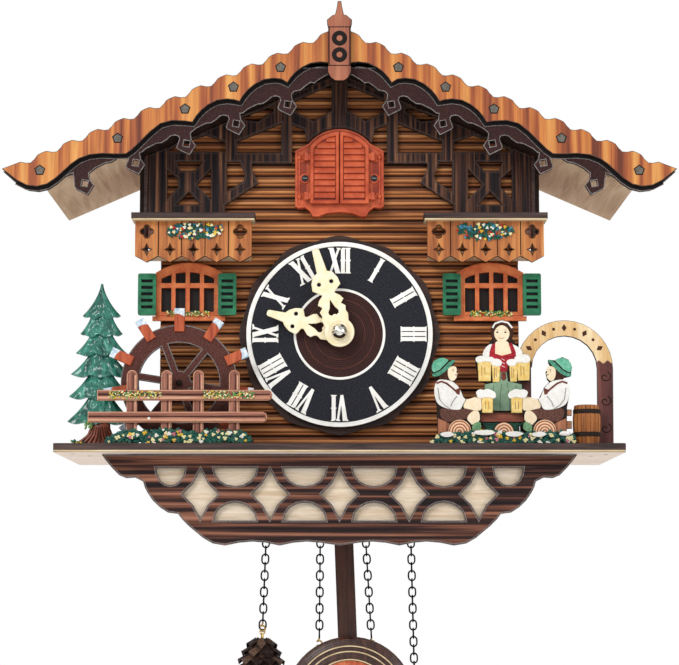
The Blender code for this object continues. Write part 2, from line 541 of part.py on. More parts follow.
# ---------------------------------------------------------------- pendulum
lath = [(-5, PIVOT_Z - BOB_DROP + 8), (5, PIVOT_Z - BOB_DROP + 8), (5, PIVOT_Z + 3), (3, PIVOT_Z + 5),
        (-3, PIVOT_Z + 5), (-5, PIVOT_Z + 3)]
rod_plate = plate("pendulum_rod", lath, -51.5, 3, [circle(0, PIVOT_Z, 1.5, 24)], colour=BROWN)
hang(rod_plate, 0, -50, PIVOT_Z, -SWING)
bob_z = PIVOT_Z - BOB_DROP
bob = turned("bob", [(0, -56.2), (22.2, -56.2), (22.2, -57.8), (24, -58.4), (28, -57.6), (29.2, -58.2),
                     (33, -57.2), (34.3, -55.4), (34.3, -53.4), (33.2, -51.8), (0, -51.8)],
             (0, 0, bob_z), sides=48, colour=DARK, rough=0.35)
hang(bob, 0, -50, PIVOT_Z, -SWING)
inlay = turned("bob_inlay", [(0, -58.6), (20.6, -58.6), (21.8, -57.8), (21.8, -56.5), (0, -56.5)],
               (0, 0, bob_z), sides=40, colour=(0.5, 0.16, 0.07), rough=0.35)
hang(inlay, 0, -50, PIVOT_Z, -SWING)

# ---------------------------------------------------------------- chains and weights
CONE = ((0, 3.5), (1.6, 3.5), (1.8, 0), (7.5, -2.5), (11.5, -9), (13.6, -18), (14, -28), (12.6, -40),
        (9.6, -51), (5.4, -60), (0, -64.5))
for n, (x, lean, length) in enumerate(CHAINS):
    end = CHAIN_PIVOT_Z - length
    top = CHAIN_PIVOT_Z + 6
    strand = turned(f"chain_{n + 1}", [(0, end), (1.6, end), (1.6, top), (0, top)],
                    (x, CHAIN_Y, 0), "Z", 10, colour=(0.01, 0.01, 0.011), metal=1.0, rough=0.5)
    hang(strand, x, CHAIN_Y, CHAIN_PIVOT_Z, lean)
    if n in (0, 3):
        cone = turned(f"cone_{'l' if n == 0 else 'r'}", [(r, end - 4.2 + z) for r, z in reversed(CONE)],
                      (x, CHAIN_Y, 0), "Z", 20, colour=(0.07, 0.04, 0.03))
        hang(cone, x, CHAIN_Y, CHAIN_PIVOT_Z, lean)

# ---------------------------------------------------------------- mill scene, left
TREE_X = -122.9
TIERS = ((-100.2, -118.6, 10.4), (-118.6, -128.0, 11.5), (-128.0, -138.0, 13.8), (-138.0, -149.0, 16.4),
         (-149.0, -160.5, 17.2), (-160.5, -173.4, 17.9))
right = [(0.8, TIERS[0][0]), (2.6, -106.5), (5.6, -111.4)]
for n, (high, low, wide) in enumerate(TIERS):
    if n:
        right += [(5.6 + n * 0.35, high - 2.0)]
    right += [(wide, low + 2.4), (wide - 0.8, low + 0.2), (6.0 + n * 0.3, low)]
right += [(5.2, -175), (8.0, -179.5), (14.5, BASE + 1.2), (14.5, BASE)]
tree = [(TREE_X + x, z) for x, z in right] + [(TREE_X - x, z) for x, z in reversed(right)]
plate("tree", tree, -94.3, 5.6, colour=(0.02, 0.25, 0.19), rough=0.25)


def sector(first, last, inner, outer, steps=6):
    """One opening between two spokes."""
    slack = math.degrees(1.9 / inner), math.degrees(1.9 / outer)
    return (arc(WHEEL_X, WHEEL_Z, outer, first + slack[1], last - slack[1], steps)
            + arc(WHEEL_X, WHEEL_Z, inner, last - slack[0], first + slack[0], 2))


SPOKE = 90 + 21.0
wheel = plate("wheel", circle(WHEEL_X, WHEEL_Z, WHEEL_R, 48), -97.4, 2.6,
              [sector(SPOKE + 60 * k, SPOKE + 60 * k + 60, 6.2, 20.7) for k in range(6)], colour=BROWN)
for k in range(11):
    turn = Matrix.Rotation(math.radians(k * 360 / 11), 4, "Y")
    paddle = helper_box(f"paddle_{k}", (-2.6, -98.7, 26.3), (2.6, -95.4, 38.3))
    paddle.data.transform(turn)
    paddle.data.transform(Matrix.Translation(Vector((WHEEL_X, 0, WHEEL_Z)) * MM))
    combine(wheel, paddle)
combine(wheel, helper_rod("axle", 1.5, WHEEL_X, WHEEL_Z, -99.4, -68, 16))
hang(wheel, WHEEL_X, -96, WHEEL_Z)

fence = box("fence", (-123, -107.5, -162.0), (-34.0, -105.5, -156.6), colour=MID)
combine(fence, helper_box("low_rail", (-127.6, -107.5, -173.2), (-36.6, -105.5, -167.7)))
for k, x in enumerate((-105.5, -87.9, -71.7, -53.5)):
    post = [(x - 2.7, BASE), (x + 2.7, BASE)] + arc(x, -149.0, 2.7, 0, 180, 6)
    combine(fence, plate(f"post_{k}", post, -105.8, 2.2, helper=True))


def flower_bed(name, x0, x1, heights, front):
    n = len(heights) - 1
    edge = [(x1 - (x1 - x0) * k / n, BASE + h) for k, h in enumerate(reversed(heights))]
    return plate(name, [(x0, BASE), (x1, BASE)] + edge, front, 3, colour=(0.05, 0.16, 0.12))


flower_bed("bed_l", -118.3, -42.6, (2.6, 6.0, 7.4, 6.9, 7.5, 7.9, 6.8, 6.2, 7.4, 6.9, 6.4, 2.4), -112)

# ---------------------------------------------------------------- beer garden, right
gate = [(98.6, BASE), (98.6, -143.4)] + arc(115.8, -144.2, 16.8, 178, 0, 12) + [(132.5, BASE), (140.6, BASE)]
gate += arc(115.8, -144.2, 25.0, 0, 157, 16) + [(92.8, -138.0), (92.8, BASE)]
plate("arch", gate, -92, 3, colour=(0.7, 0.5, 0.27))
turned("barrel", [(0, -184.0), (6.1, -184.0), (6.6, -180.5), (7.0, -176), (7.1, -173), (7.0, -170),
                  (6.6, -166.5), (6.2, -164.0), (0, -164.0)],
       (126.2, -99, 0), "Z", 24, colour=(0.42, 0.19, 0.07))
plate("table", [(74, BASE), (91.5, BASE), (91.5, -175), (95.3, -172.5), (95.3, -167.3), (71.6, -167.3),
                (71.6, -172.5), (74, -175)], -98.8, 3, colour=BROWN)
girl = [(83.3, -119.3), (86.8, -120.6), (89.0, -124.3), (88.8, -129.2), (91.4, -133.2), (94.1, -137.5),
        (97.8, -138.8), (97.4, -151.0), (93.5, -151.6), (95.4, -160.5), (95.4, -166.5), (72.3, -166.5),
        (72.3, -160.5), (74.9, -152.0), (71.3, -151.0), (69.6, -139.8), (73.7, -137.5), (75.6, -132.9),
        (78.4, -129.2), (77.8, -124.0), (79.6, -120.9)]
plate("waitress", girl, -95.5, 3, colour=(0.75, 0.7, 0.6))
man = [(51.8, -139.3), (55.6, -141.0), (58.9, -140.7), (58.8, -142.4), (57.9, -143.9), (60.3, -147.0),
       (59.4, -151.0), (58.4, -152.0), (60.7, -154.3), (63.9, -160.7), (66.6, -160.9), (69.6, -159.4),
       (69.6, -157.6), (73.5, -155.9), (79.3, -157.8), (78.2, -160.6), (78.2, -167.6), (72.2, -168.0),
       (71.4, -170.8), (72.4, -175.5), (69.5, -177.6), (69.5, BASE), (50.0, BASE), (49.6, -165),
       (48.5, -159.6), (48.4, -155.2), (52.1, -150.2), (47.7, -149.3), (46.8, -144.5), (48.6, -140.7)]
seat = 161.9                                # the two drinkers mirror about this sum of x
for side, letter in ((1, "l"), (-1, "r")):
    body = man if side == 1 else [(seat + 3.6 - x, z) for x, z in man]
    plate(f"man_{letter}", body, -102.1, 3, colour=(0.75, 0.72, 0.64))
flower_bed("bed_r", 45.8, 119.8, (2.6, 5.4, 6.0, 6.4, 7.6, 7.6, 6.6, 6.2, 6.6, 6.0, 6.6, 6.9, 4.2), -106.6)
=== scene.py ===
import json
import math
import random

import bmesh
import bpy
from mathutils import Matrix, Vector, noise
from mathutils.geometry import delaunay_2d_cdt


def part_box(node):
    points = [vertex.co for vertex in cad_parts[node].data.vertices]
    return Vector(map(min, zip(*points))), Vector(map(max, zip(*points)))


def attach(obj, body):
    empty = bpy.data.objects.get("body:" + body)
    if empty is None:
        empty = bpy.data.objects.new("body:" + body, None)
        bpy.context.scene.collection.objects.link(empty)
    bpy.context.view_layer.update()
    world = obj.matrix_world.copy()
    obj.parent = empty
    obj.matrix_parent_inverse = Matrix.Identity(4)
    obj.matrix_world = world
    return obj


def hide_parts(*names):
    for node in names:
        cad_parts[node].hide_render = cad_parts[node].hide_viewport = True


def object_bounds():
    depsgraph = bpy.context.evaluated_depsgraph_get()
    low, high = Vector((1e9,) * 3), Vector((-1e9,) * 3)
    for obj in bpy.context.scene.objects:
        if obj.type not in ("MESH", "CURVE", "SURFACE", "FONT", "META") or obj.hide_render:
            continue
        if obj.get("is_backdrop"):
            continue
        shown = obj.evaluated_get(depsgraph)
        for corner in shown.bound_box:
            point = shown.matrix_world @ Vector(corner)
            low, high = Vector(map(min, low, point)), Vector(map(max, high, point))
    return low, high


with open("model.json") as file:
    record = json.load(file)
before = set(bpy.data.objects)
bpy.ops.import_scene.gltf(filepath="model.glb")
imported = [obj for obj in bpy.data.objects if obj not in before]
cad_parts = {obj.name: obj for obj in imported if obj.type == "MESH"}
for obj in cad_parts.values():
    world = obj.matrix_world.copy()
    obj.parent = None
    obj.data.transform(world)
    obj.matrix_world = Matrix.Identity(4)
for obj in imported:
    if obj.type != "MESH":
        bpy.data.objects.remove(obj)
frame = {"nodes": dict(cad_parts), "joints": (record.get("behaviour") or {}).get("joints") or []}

# Looks of the cuckoo clock. Lengths are millimetres in the frame of the CAD: X right, Y into the
# wall, Z up, and the nail at the origin.
MM = 0.001
cad_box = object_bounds()
cad = frame["nodes"]
BOARD = 3.0                                    # thickness of the sawn boards


def low_high(node):
    """A CAD node's lowest and highest corners, in millimetres."""
    low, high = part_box(node)
    return low / MM, high / MM


# ---------------------------------------------------------------- materials
def colour(code):
    """A linear colour from its usual six-digit code."""
    parts = [int(code[i:i + 2], 16) / 255 for i in (0, 2, 4)]
    return tuple(c / 12.92 if c < 0.04045 else ((c + 0.055) / 1.055) ** 2.4 for c in parts) + (1.0,)


class Paint:
    """A node material being put together. Everything is placed by the object's own coordinates."""

    def __init__(self, name, rough=0.55, metal=0.0, coat=0.0, shine=0.3):
        self.material = bpy.data.materials.new(name)
        self.material.use_nodes = True
        self.tree = self.material.node_tree
        self.shader = self.tree.nodes["Principled BSDF"]
        self.shader.inputs["Roughness"].default_value = rough
        self.shader.inputs["Metallic"].default_value = metal
        self.shader.inputs["Coat Weight"].default_value = coat
        self.shader.inputs["Coat Roughness"].default_value = 0.15
        self.shader.inputs["Specular IOR Level"].default_value = shine
        self.place = self.node("TexCoord").outputs["Object"]
        self.split = None

    def node(self, kind, inputs=(), **settings):
        made = self.tree.nodes.new("ShaderNode" + kind)
        for key, value in settings.items():
            setattr(made, key, value)
        for key, value in dict(inputs).items():
            if isinstance(value, bpy.types.NodeSocket):
                self.tree.links.new(value, made.inputs[key])
            else:
                made.inputs[key].default_value = value
        return made

    def math(self, operation, *values):
        made = self.node("Math", operation=operation)
        for k, value in enumerate(values):
            if isinstance(value, bpy.types.NodeSocket):
                self.tree.links.new(value, made.inputs[k])
            else:
                made.inputs[k].default_value = value
        return made.outputs[0]

    def axis(self, letter):
        if self.split is None:
            self.split = self.node("SeparateXYZ", {"Vector": self.place})
        return self.split.outputs[letter]

    def facing(self, letter):
        """One component of the surface's direction, from -1 to 1."""
        normal = self.node("SeparateXYZ", {"Vector": self.node("TexCoord").outputs["Normal"]})
        return normal.outputs[letter]

    def front_face(self):
        """1 on the faces of a board, 0 on its cut sides."""
        return self.math("GREATER_THAN", self.math("ABSOLUTE", self.facing("Y")), 0.6)

    def noise(self, scale, stretch=(1, 1, 1), detail=5.0, distortion=0.0, roughness=0.6):
        """Noise whose features are 1 / scale metres across, drawn out along an axis by stretch."""
        spread = self.node("Mapping", {"Vector": self.place, "Scale": [scale / s for s in stretch]})
        made = self.node("TexNoise", {"Vector": spread.outputs[0], "Scale": 1.0, "Detail": detail,
                                      "Distortion": distortion, "Roughness": roughness})
        return made.outputs["Fac"]

    def ramp(self, value, stops):
        """Colours, or greys given as numbers, along a value from 0 to 1."""
        made = self.node("ValToRGB", {"Fac": value})
        band = made.color_ramp.elements
        while len(band) < len(stops):
            band.new(0.5)
        for element, (where, tone) in zip(band, stops):
            element.position = where
            element.color = colour(tone) if isinstance(tone, str) else (tone, tone, tone, 1)
        return made.outputs["Color"]

    def mix(self, share, first, second, blend="MIX"):
        made = self.node("Mix", data_type="RGBA", blend_type=blend)
        for socket, value in ((made.inputs[0], share), (made.inputs[6], first), (made.inputs[7], second)):
            if isinstance(value, bpy.types.NodeSocket):
                self.tree.links.new(value, socket)
            else:
                socket.default_value = colour(value) if isinstance(value, str) else value
        return made.outputs[2]

    def shade(self, tone, by, share, dark, first=0.3, last=0.7):
        """The tone, darkened by a share where a value falls from last to first."""
        return self.mix(share, tone, self.ramp(by, [(first, dark), (last, 1.0)]), "MULTIPLY")

    def window(self, value, low, high, soft):
        """1 between low and high, 0 outside, over soft at each end."""
        up = self.node("MapRange", {"Value": value, "From Min": low - soft, "From Max": low + soft})
        down = self.node("MapRange", {"Value": value, "From Min": high - soft, "From Max": high + soft,
                                      "To Min": 1.0, "To Max": 0.0})
        return self.math("MULTIPLY", up.outputs[0], down.outputs[0])

    def radius(self, x, z):
        """Distance from a line along Y through (x, z) in millimetres, in metres."""
        dx = self.math("SUBTRACT", self.axis("X"), x * MM)
        dz = self.math("SUBTRACT", self.axis("Z"), z * MM)
        return self.math("SQRT", self.math("ADD", self.math("MULTIPLY", dx, dx),
                                           self.math("MULTIPLY", dz, dz)))

    def done(self, tone, height=None, strength=0.3, depth=0.0002, rough=None):
        self.tree.links.new(tone, self.shader.inputs["Base Color"])
        if height is not None:
            bump = self.node("Bump", {"Height": height, "Strength": strength, "Distance": depth})
            self.tree.links.new(bump.outputs[0], self.shader.inputs["Normal"])
        if rough is not None:
            low, high, value = rough
            spread = self.node("MapRange", {"Value": value, "To Min": low, "To Max": high})
            self.tree.links.new(spread.outputs[0], self.shader.inputs["Roughness"])
        return self.material


LONG = {"X": (16, 1, 1), "Y": (1, 16, 1), "Z": (1, 1, 16)}


def wood(name, dark, middle, light, along="X", grain=420, rough=(0.45, 0.7), fibre=0.55, side=None,
         coat=0.0):
    """Veneered board: drawn-out figure and fine fibre, with another tone on the cut sides."""
    paint = Paint(name, coat=coat)
    figure = paint.noise(grain, LONG[along], 6, 0.6)
    fine = paint.noise(grain * 5, LONG[along], 3)
    tone = paint.ramp(figure, [(0.3, dark), (0.5, middle), (0.72, light)])
    tone = paint.shade(tone, fine, fibre * 0.5, 0.25)
    if side:
        layers = paint.ramp(paint.math("SINE", paint.math("MULTIPLY", paint.axis("Y"), 4200)),
                            [(0.0, side[0]), (1.0, side[1])])
        tone = paint.mix(paint.front_face(), layers, tone)
    return paint.done(tone, fine, 0.35, 0.0002, (*rough, figure))


def zebra(name, along, tones=("120F14", "2A1D1E", "553629", "8E6246"), pitch=520, rough=(0.4, 0.6)):
    """Dark striped veneer, its stripes running along one axis."""
    paint = Paint(name, shine=0.15)
    stripes = paint.noise(pitch, {"X": (60, 3, 1), "Z": (1, 3, 60)}[along], 4, 0.3, 0.55)
    fine = paint.noise(pitch * 4, LONG[along], 3)
    tone = paint.ramp(stripes, [(0.36, tones[0]), (0.47, tones[1]), (0.56, tones[2]), (0.7, tones[3])])
    tone = paint.shade(tone, fine, 0.3, 0.35)
    return paint.done(tone, fine, 0.3, 0.0002, (*rough, stripes))


def speckled(name, dark, light, scale=700, rough=(0.5, 0.75), spread=(0.42, 0.66), detail=8, coat=0.0,
             bump=0.3):
    """A stained or painted face with fine uneven specks."""
    paint = Paint(name, coat=coat, shine=0.15)
    fine = paint.noise(scale, (1, 1, 1), detail, 0.2, 0.72)
    broad = paint.noise(scale / 9, (1, 1, 1), 3)
    tone = paint.ramp(fine, [(spread[0], dark), (spread[1], light)])
    tone = paint.shade(tone, broad, 0.35, 0.55)
    return paint.done(tone, fine, bump, 0.00015, (*rough, broad))


def moulded(name, dark, light, rough=(0.3, 0.42), scale=160, coat=0.0, grain=0.12):
    """Smooth moulded plastic, slightly uneven in tone, with a faint orange peel."""
    paint = Paint(name, coat=coat)
    broad = paint.noise(scale, (1, 1, 1), 4)
    peel = paint.noise(2600, (1, 1, 1), 2)
    tone = paint.ramp(broad, [(0.35, dark), (0.65, light)])
    return paint.done(tone, peel, grain, 0.0001, (*rough, broad))


def metal(name, dark, light, rough=(0.2, 0.34)):
    """Bare metal with faint uneven wear."""
    paint = Paint(name, metal=1.0)
    wear = paint.noise(900, (1, 1, 1), 6)
    return paint.done(paint.ramp(wear, [(0.35, dark), (0.65, light)]), wear, 0.1, 0.0001, (*rough, wear))


# ---------------------------------------------------------------- shapes
def circle(x, z, r, sides=32, start=0.0):
    return [(x + r * math.cos(start + 2 * math.pi * k / sides),
             z + r * math.sin(start + 2 * math.pi * k / sides)) for k in range(sides)]


def arc(x, z, r, first, last, steps):
    turns = [math.radians(first + (last - first) * k / steps) for k in range(steps + 1)]
    return [(x + r * math.cos(a), z + r * math.sin(a)) for a in turns]


def rect(x0, z0, x1, z1):
    return [(x0, z0), (x1, z0), (x1, z1), (x0, z1)]


def flipped(points, side, about=0.0):
    """The outline itself on the left, side 1, or its mirror image on the right, side -1."""
    return list(points) if side == 1 else [(2 * about - x, z) for x, z in reversed(points)]


def placed(points, side, about):
    """The same for an open line, which keeps its direction."""
    return [(x if side == 1 else 2 * about - x, z) for x, z in points]


def smooth_loop(points, rounds=2):
    """The closed outline with its corners cut round."""
    for _ in range(rounds):
        points = [p for a, b in zip(points, points[1:] + points[:1])
                  for p in ((a[0] * 0.75 + b[0] * 0.25, a[1] * 0.75 + b[1] * 0.25),
                            (a[0] * 0.25 + b[0] * 0.75, a[1] * 0.25 + b[1] * 0.75))]
    return points


def area(loop):
    return sum(a[0] * b[1] - b[0] * a[1] for a, b in zip(loop, loop[1:] + loop[:1])) / 2


def inset(loop, d):
    """The loop moved d to the left of its direction, which is into the board."""
    points = [Vector(p) for p in loop]
    out = []
    for i, p in enumerate(points):
        a, b = p - points[i - 1], points[(i + 1) % len(points)] - p
        if a.length < 1e-6 or b.length < 1e-6:
            out.append(tuple(p))
            continue
        a, b = a.normalized(), b.normalized()
        na, nb = Vector((-a.y, a.x)), Vector((-b.y, b.x))
        turn = max(0.45, 1 + na.dot(nb))
        out.append(tuple(p + (na + nb) * d / turn))
    return out


def outlines(node, y=None):
    """The loops of a CAD board's front face, the outline first, in millimetres."""
    mesh = cad[node].data
    points = [v.co / MM for v in mesh.vertices]
    if y is None:
        y = min(p.y for p in points)
    edges = {}
    for poly in mesh.polygons:
        corners = [points[i] for i in poly.vertices]
        if poly.normal.y > -0.99 or any(abs(p.y - y) > 0.02 for p in corners):
            continue
        flat = [(round(p.x, 2), round(p.z, 2)) for p in corners]
        for a, b in zip(flat, flat[1:] + flat[:1]):
            if edges.get((b, a)):
                del edges[(b, a)]
            elif a != b:
                edges[(a, b)] = True
    after = {}
    for a, b in edges:
        after.setdefault(a, []).append(b)
    loops = []
    while after:
        start = next(iter(after))
        loop, here = [], start
        while True:
            loop.append(here)
            nexts = after[here]
            there = nexts.pop()
            if not nexts:
                del after[here]
            here = there
            if here == start or here not in after:
                break
        slim = [p for i, p in enumerate(loop) if abs((p[0] - loop[i - 1][0]) * (loop[(i
                + 1) % len(loop)][1] - p[1]) - (p[1] - loop[i - 1][1]) * (loop[(i
                + 1) % len(loop)][0] - p[0])) > 1e-3]
        if len(slim) > 2:
            loops.append(slim)
    return sorted(loops, key=area, reverse=True)


def in_loops(point, loops):
    crossings = 0
    for loop in loops:
        for (x0, z0), (x1, z1) in zip(loop, loop[1:] + loop[:1]):
            if (z0 > point[1]) != (z1 > point[1]):
                crossings += point[0] < x0 + (point[1] - z0) * (x1 - x0) / (z1 - z0)
    return crossings % 2 == 1


def fill(loops):
    """Triangles over the first loop less the others, as indices into the loops joined; None if they cross."""
    flat = [p for loop in loops for p in loop]
    ring, start = [], 0
    for loop in loops:
        ring += [(start + i, start + (i + 1) % len(loop)) for i in range(len(loop))]
        start += len(loop)
    corners, _, tris, origin, _, _ = delaunay_2d_cdt([Vector(p) for p in flat], ring, [], 0, 1e-6)
    if any(len(o) != 1 for o in origin):
        return None
    out = []
    for tri in tris:
        if in_loops(sum((corners[i] for i in tri), Vector((0, 0))) / 3, loops):
            a, b, c = (origin[i][0] for i in tri)
            (ax, az), (bx, bz), (cx, cz) = flat[a], flat[b], flat[c]
            turn = (bx - ax) * (cz - az) - (bz - az) * (cx - ax)
            out.append((a, b, c) if turn > 0 else (a, c, b))
    return out


class Build:
    """One piece of the clock, gathered from shapes."""

    def __init__(self):
        self.points, self.faces, self.mats, self.kinds = [], [], [], []

    def add(self, points, faces, mat):
        start = len(self.points)
        self.points += [Vector(p) for p in points]
        self.faces += [tuple(start + i for i in f) for f in faces]
        if mat not in self.mats:
            self.mats.append(mat)
        self.kinds += [self.mats.index(mat)] * len(faces)
        return start

    def board(self, outline, front, thick, mat, holes=(), edge=None, side=None, chamfer=0.25):
        """A flat board with a small chamfer round its front and its back."""
        loops = [list(outline)] + [list(h) for h in holes]
        loops = [loop if (area(loop) > 0) == (i == 0) else loop[::-1] for i, loop in enumerate(loops)]
        inner = [inset(loop, chamfer) for loop in loops]
        faces = fill(inner) if chamfer else None
        if faces is None:
            chamfer, inner = 0.0, loops
            faces = fill(loops)
            if faces is None:
                raise ValueError("a board's outline crosses itself")
        back = front + thick
        levels = [(front, inner), (front + chamfer, loops), (back - chamfer, loops), (back, inner)]
        if not chamfer:
            levels = [levels[0], levels[3]]
        n = sum(len(loop) for loop in loops)
        points = [(x, y, z) for y, rows in levels for row in rows for x, z in row]
        start = self.add(points, [], mat)
        last = (len(levels) - 1) * n

        def more(new, which):
            if which not in self.mats:
                self.mats.append(which)
            self.faces += [tuple(start + i for i in f) for f in new]
            self.kinds += [self.mats.index(which)] * len(new)

        more(faces, mat)
        more([tuple(last + i for i in reversed(f)) for f in faces], side or mat)
        for level in range(len(levels) - 1):
            rings, base = [], level * n
            for loop in loops:
                m = len(loop)
                rings += [(base + (i + 1) % m, base + i, base + n + i, base + n + (i + 1) % m)
                          for i in range(m)]
                base += m
            which = (edge or mat) if level == 0 and len(levels) > 2 else side or mat
            more(rings, which)
        return self

    def box(self, low, high, mat, **kw):
        return self.board(rect(low[0], low[2], high[0], high[2]), low[1], high[1] - low[1], mat, **kw)

    def line(self, loop, inner, outer, y, lift, mat):
        """A low ridge that follows a loop between two insets, lift proud of the face at y."""
        rows = [inset(loop, outer), inset(loop, outer), inset(loop, inner), inset(loop, inner)]
        depth = [y + 0.05, y - lift, y - lift, y + 0.05]
        n = len(loop)
        points = [(x, d, z) for row, d in zip(rows, depth) for x, z in row]
        faces = [(k * n + i, k * n + (i + 1) % n, (k + 1) * n + (i + 1) % n, (k + 1) * n + i)
                 for k in range(3) for i in range(n)]
        self.add(points, faces, mat)
        return self

    def stroke(self, path, width, y, lift, mat):
        """A low ridge along an open path of (x, z) points."""
        points = []
        n, half = len(path), width / 2
        for i, p in enumerate(path):
            a, b = Vector(path[max(0, i - 1)]), Vector(path[min(n - 1, i + 1)])
            d = (b - a).normalized() if (b - a).length > 1e-9 else Vector((1, 0))
            for k, (off, up) in enumerate(((-half, 0.05), (-half * 0.8, -lift), (half * 0.8, -lift),
                                           (half, 0.05))):
                points.append((p[0] - d.y * off, y + up, p[1] + d.x * off))
        faces = [(4 * i + k, 4 * i + k + 1, 4 * i + k + 5, 4 * i + k + 4) for i in range(n - 1)
                 for k in range(3)]
        faces += [(0, 1, 2, 3), (4 * n - 1, 4 * n - 2, 4 * n - 3, 4 * n - 4)]
        self.add(points, faces, mat)
        return self

    def lathe(self, profile, centre, mat, axis="Y", sides=48):
        """A (radius, along) profile turned about an axis through centre, its ends closed."""
        u, v, w = {"Y": ((1, 0, 0), (0, 0, 1), (0, 1, 0)), "Z": ((1, 0, 0), (0, 1, 0), (0, 0, 1)),
                   "X": ((0, 1, 0), (0, 0, 1), (1, 0, 0))}[axis]
        u, v, w, middle = Vector(u), Vector(v), Vector(w), Vector(centre)
        points = []
        for r, along in profile:
            for k in range(sides):
                t = 2 * math.pi * k / sides
                points.append(middle + w * along + (u * math.cos(t) + v * math.sin(t)) * r)
        faces = [(i * sides + k, i * sides + (k + 1) % sides, (i + 1) * sides + (k + 1) % sides,
                  (i + 1) * sides + k) for i in range(len(profile) - 1) for k in range(sides)]
        if profile[0] != profile[-1]:
            faces += [tuple(range(sides)), tuple((len(profile) - 1) * sides + k
                                                 for k in reversed(range(sides)))]
        self.add(points, faces, mat)
        return self

    def ring(self, inner, outer, y, lift, centre, mat, slope=0.15, foot=0.2, sides=96):
        """A flat raised ring, lift proud of the face at y."""
        profile = [(inner, y + foot), (inner + slope, y - lift), (outer - slope, y - lift),
                   (outer, y + foot)]
        return self.lathe(profile + profile[:1], (centre[0], 0, centre[1]), mat, sides=sides)

    def tube(self, path, r, mat, sides=8, closed=False, radii=None):
        """A round bar along a path of 3-D points."""
        path = [Vector(p) for p in path]
        n, points = len(path), []
        normal = None
        for i, p in enumerate(path):
            a = path[i - 1] if closed or i else p
            b = path[(i + 1) % n] if closed or i < n - 1 else p
            d = (b - a).normalized()
            if normal is None:
                normal = d.orthogonal().normalized()
            normal = (normal - d * normal.dot(d)).normalized()
            other = d.cross(normal)
            reach = radii[i] if radii else r
            points += [p + (normal * math.cos(2 * math.pi * k / sides)
                            + other * math.sin(2 * math.pi * k / sides)) * reach for k in range(sides)]
        faces = [(i * sides + k, i * sides + (k + 1) % sides, (i + 1) % n * sides + (k + 1) % sides,
                  (i + 1) % n * sides + k) for i in range(n if closed else n - 1) for k in range(sides)]
        if not closed:
            faces += [tuple(range(sides)), tuple((n - 1) * sides + k for k in reversed(range(sides)))]
        self.add(points, faces, mat)
        return self

    def blob(self, centre, size, mat, rows=5, sides=8, turn=0.0):
        """A small rounded lump."""
        c, s = math.cos(turn), math.sin(turn)
        points = [Vector((centre[0] - size[2] * s, centre[1], centre[2] + size[2] * c))]
        for i in range(1, rows):
            a = math.pi * i / rows
            for k in range(sides):
                t = 2 * math.pi * k / sides
                x, y = size[0] * math.sin(a) * math.cos(t), size[1] * math.sin(a) * math.sin(t)
                z = size[2] * math.cos(a)
                points.append(Vector((centre[0] + x * c - z * s, centre[1] + y,
                                      centre[2] + x * s + z * c)))
        points.append(Vector((centre[0] + size[2] * s, centre[1], centre[2] - size[2] * c)))
        last = len(points) - 1
        faces = [(0, 1 + k, 1 + (k + 1) % sides) for k in range(sides)]
        faces += [(1 + i * sides + k, 1 + (i + 1) * sides + k, 1 + (i + 1) * sides + (k + 1) % sides,
                   1 + i * sides + (k + 1) % sides) for i in range(rows - 2) for k in range(sides)]
        faces += [(last, 1 + (rows - 2) * sides + (k + 1) % sides, 1 + (rows - 2) * sides + k)
                  for k in range(sides)]
        self.add(points, faces, mat)
        return self

    def turn(self, start, degrees, centre):
        """Turns what was added since start about an axis along Y, top to +X."""
        middle = Vector(centre)
        spin = Matrix.Rotation(math.radians(degrees), 3, "Y")
        for i in range(start, len(self.points)):
            self.points[i] = middle + spin @ (self.points[i] - middle)
        return self

    def done(self, name, slot, body="case", replaces=(), angle=35.0, smooth=True):
        mesh = bpy.data.meshes.new(name)
        mesh.from_pydata([p * MM for p in self.points], [], self.faces)
        for mat in self.mats:
            mesh.materials.append(mat)
        mesh.polygons.foreach_set("material_index", self.kinds)
        shape = bmesh.new()
        shape.from_mesh(mesh)
        bmesh.ops.recalc_face_normals(shape, faces=shape.faces)
        shape.to_mesh(mesh)
        shape.free()
        mesh.polygons.foreach_set("use_smooth", [smooth] * len(mesh.polygons))
        if smooth:
            mesh.set_sharp_from_angle(angle=math.radians(angle))
        obj = bpy.data.objects.new(name, mesh)
        bpy.context.scene.collection.objects.link(obj)
        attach(obj, body)
        if replaces:
            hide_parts(*replaces)
        return obj


def give(mat, *names):
    for name in names:
        cad[name].data.materials[0] = mat


def plant(name, dark, light):
    return speckled(name, dark, light, 900, (0.3, 0.5), bump=0.2)


def petal(name, dark, light):
    return speckled(name, dark, light, 900, bump=0.1)


# ---------------------------------------------------------------- the paints used
strip = Paint("roof_strip", coat=0.1)
bands = strip.noise(150, (1, 1, 40), 4, 0.2, 0.6)
fibres = strip.noise(700, (1, 1, 16), 4)
tone = strip.ramp(bands, [(0.36, "6E3420"), (0.45, "A5562E"), (0.53, "CC7E3E"), (0.64, "E2A258")])
tone = strip.shade(tone, fibres, 0.4, 0.4)
STRIP = strip.done(tone, fibres, 0.3, 0.0002, (0.4, 0.6, bands))

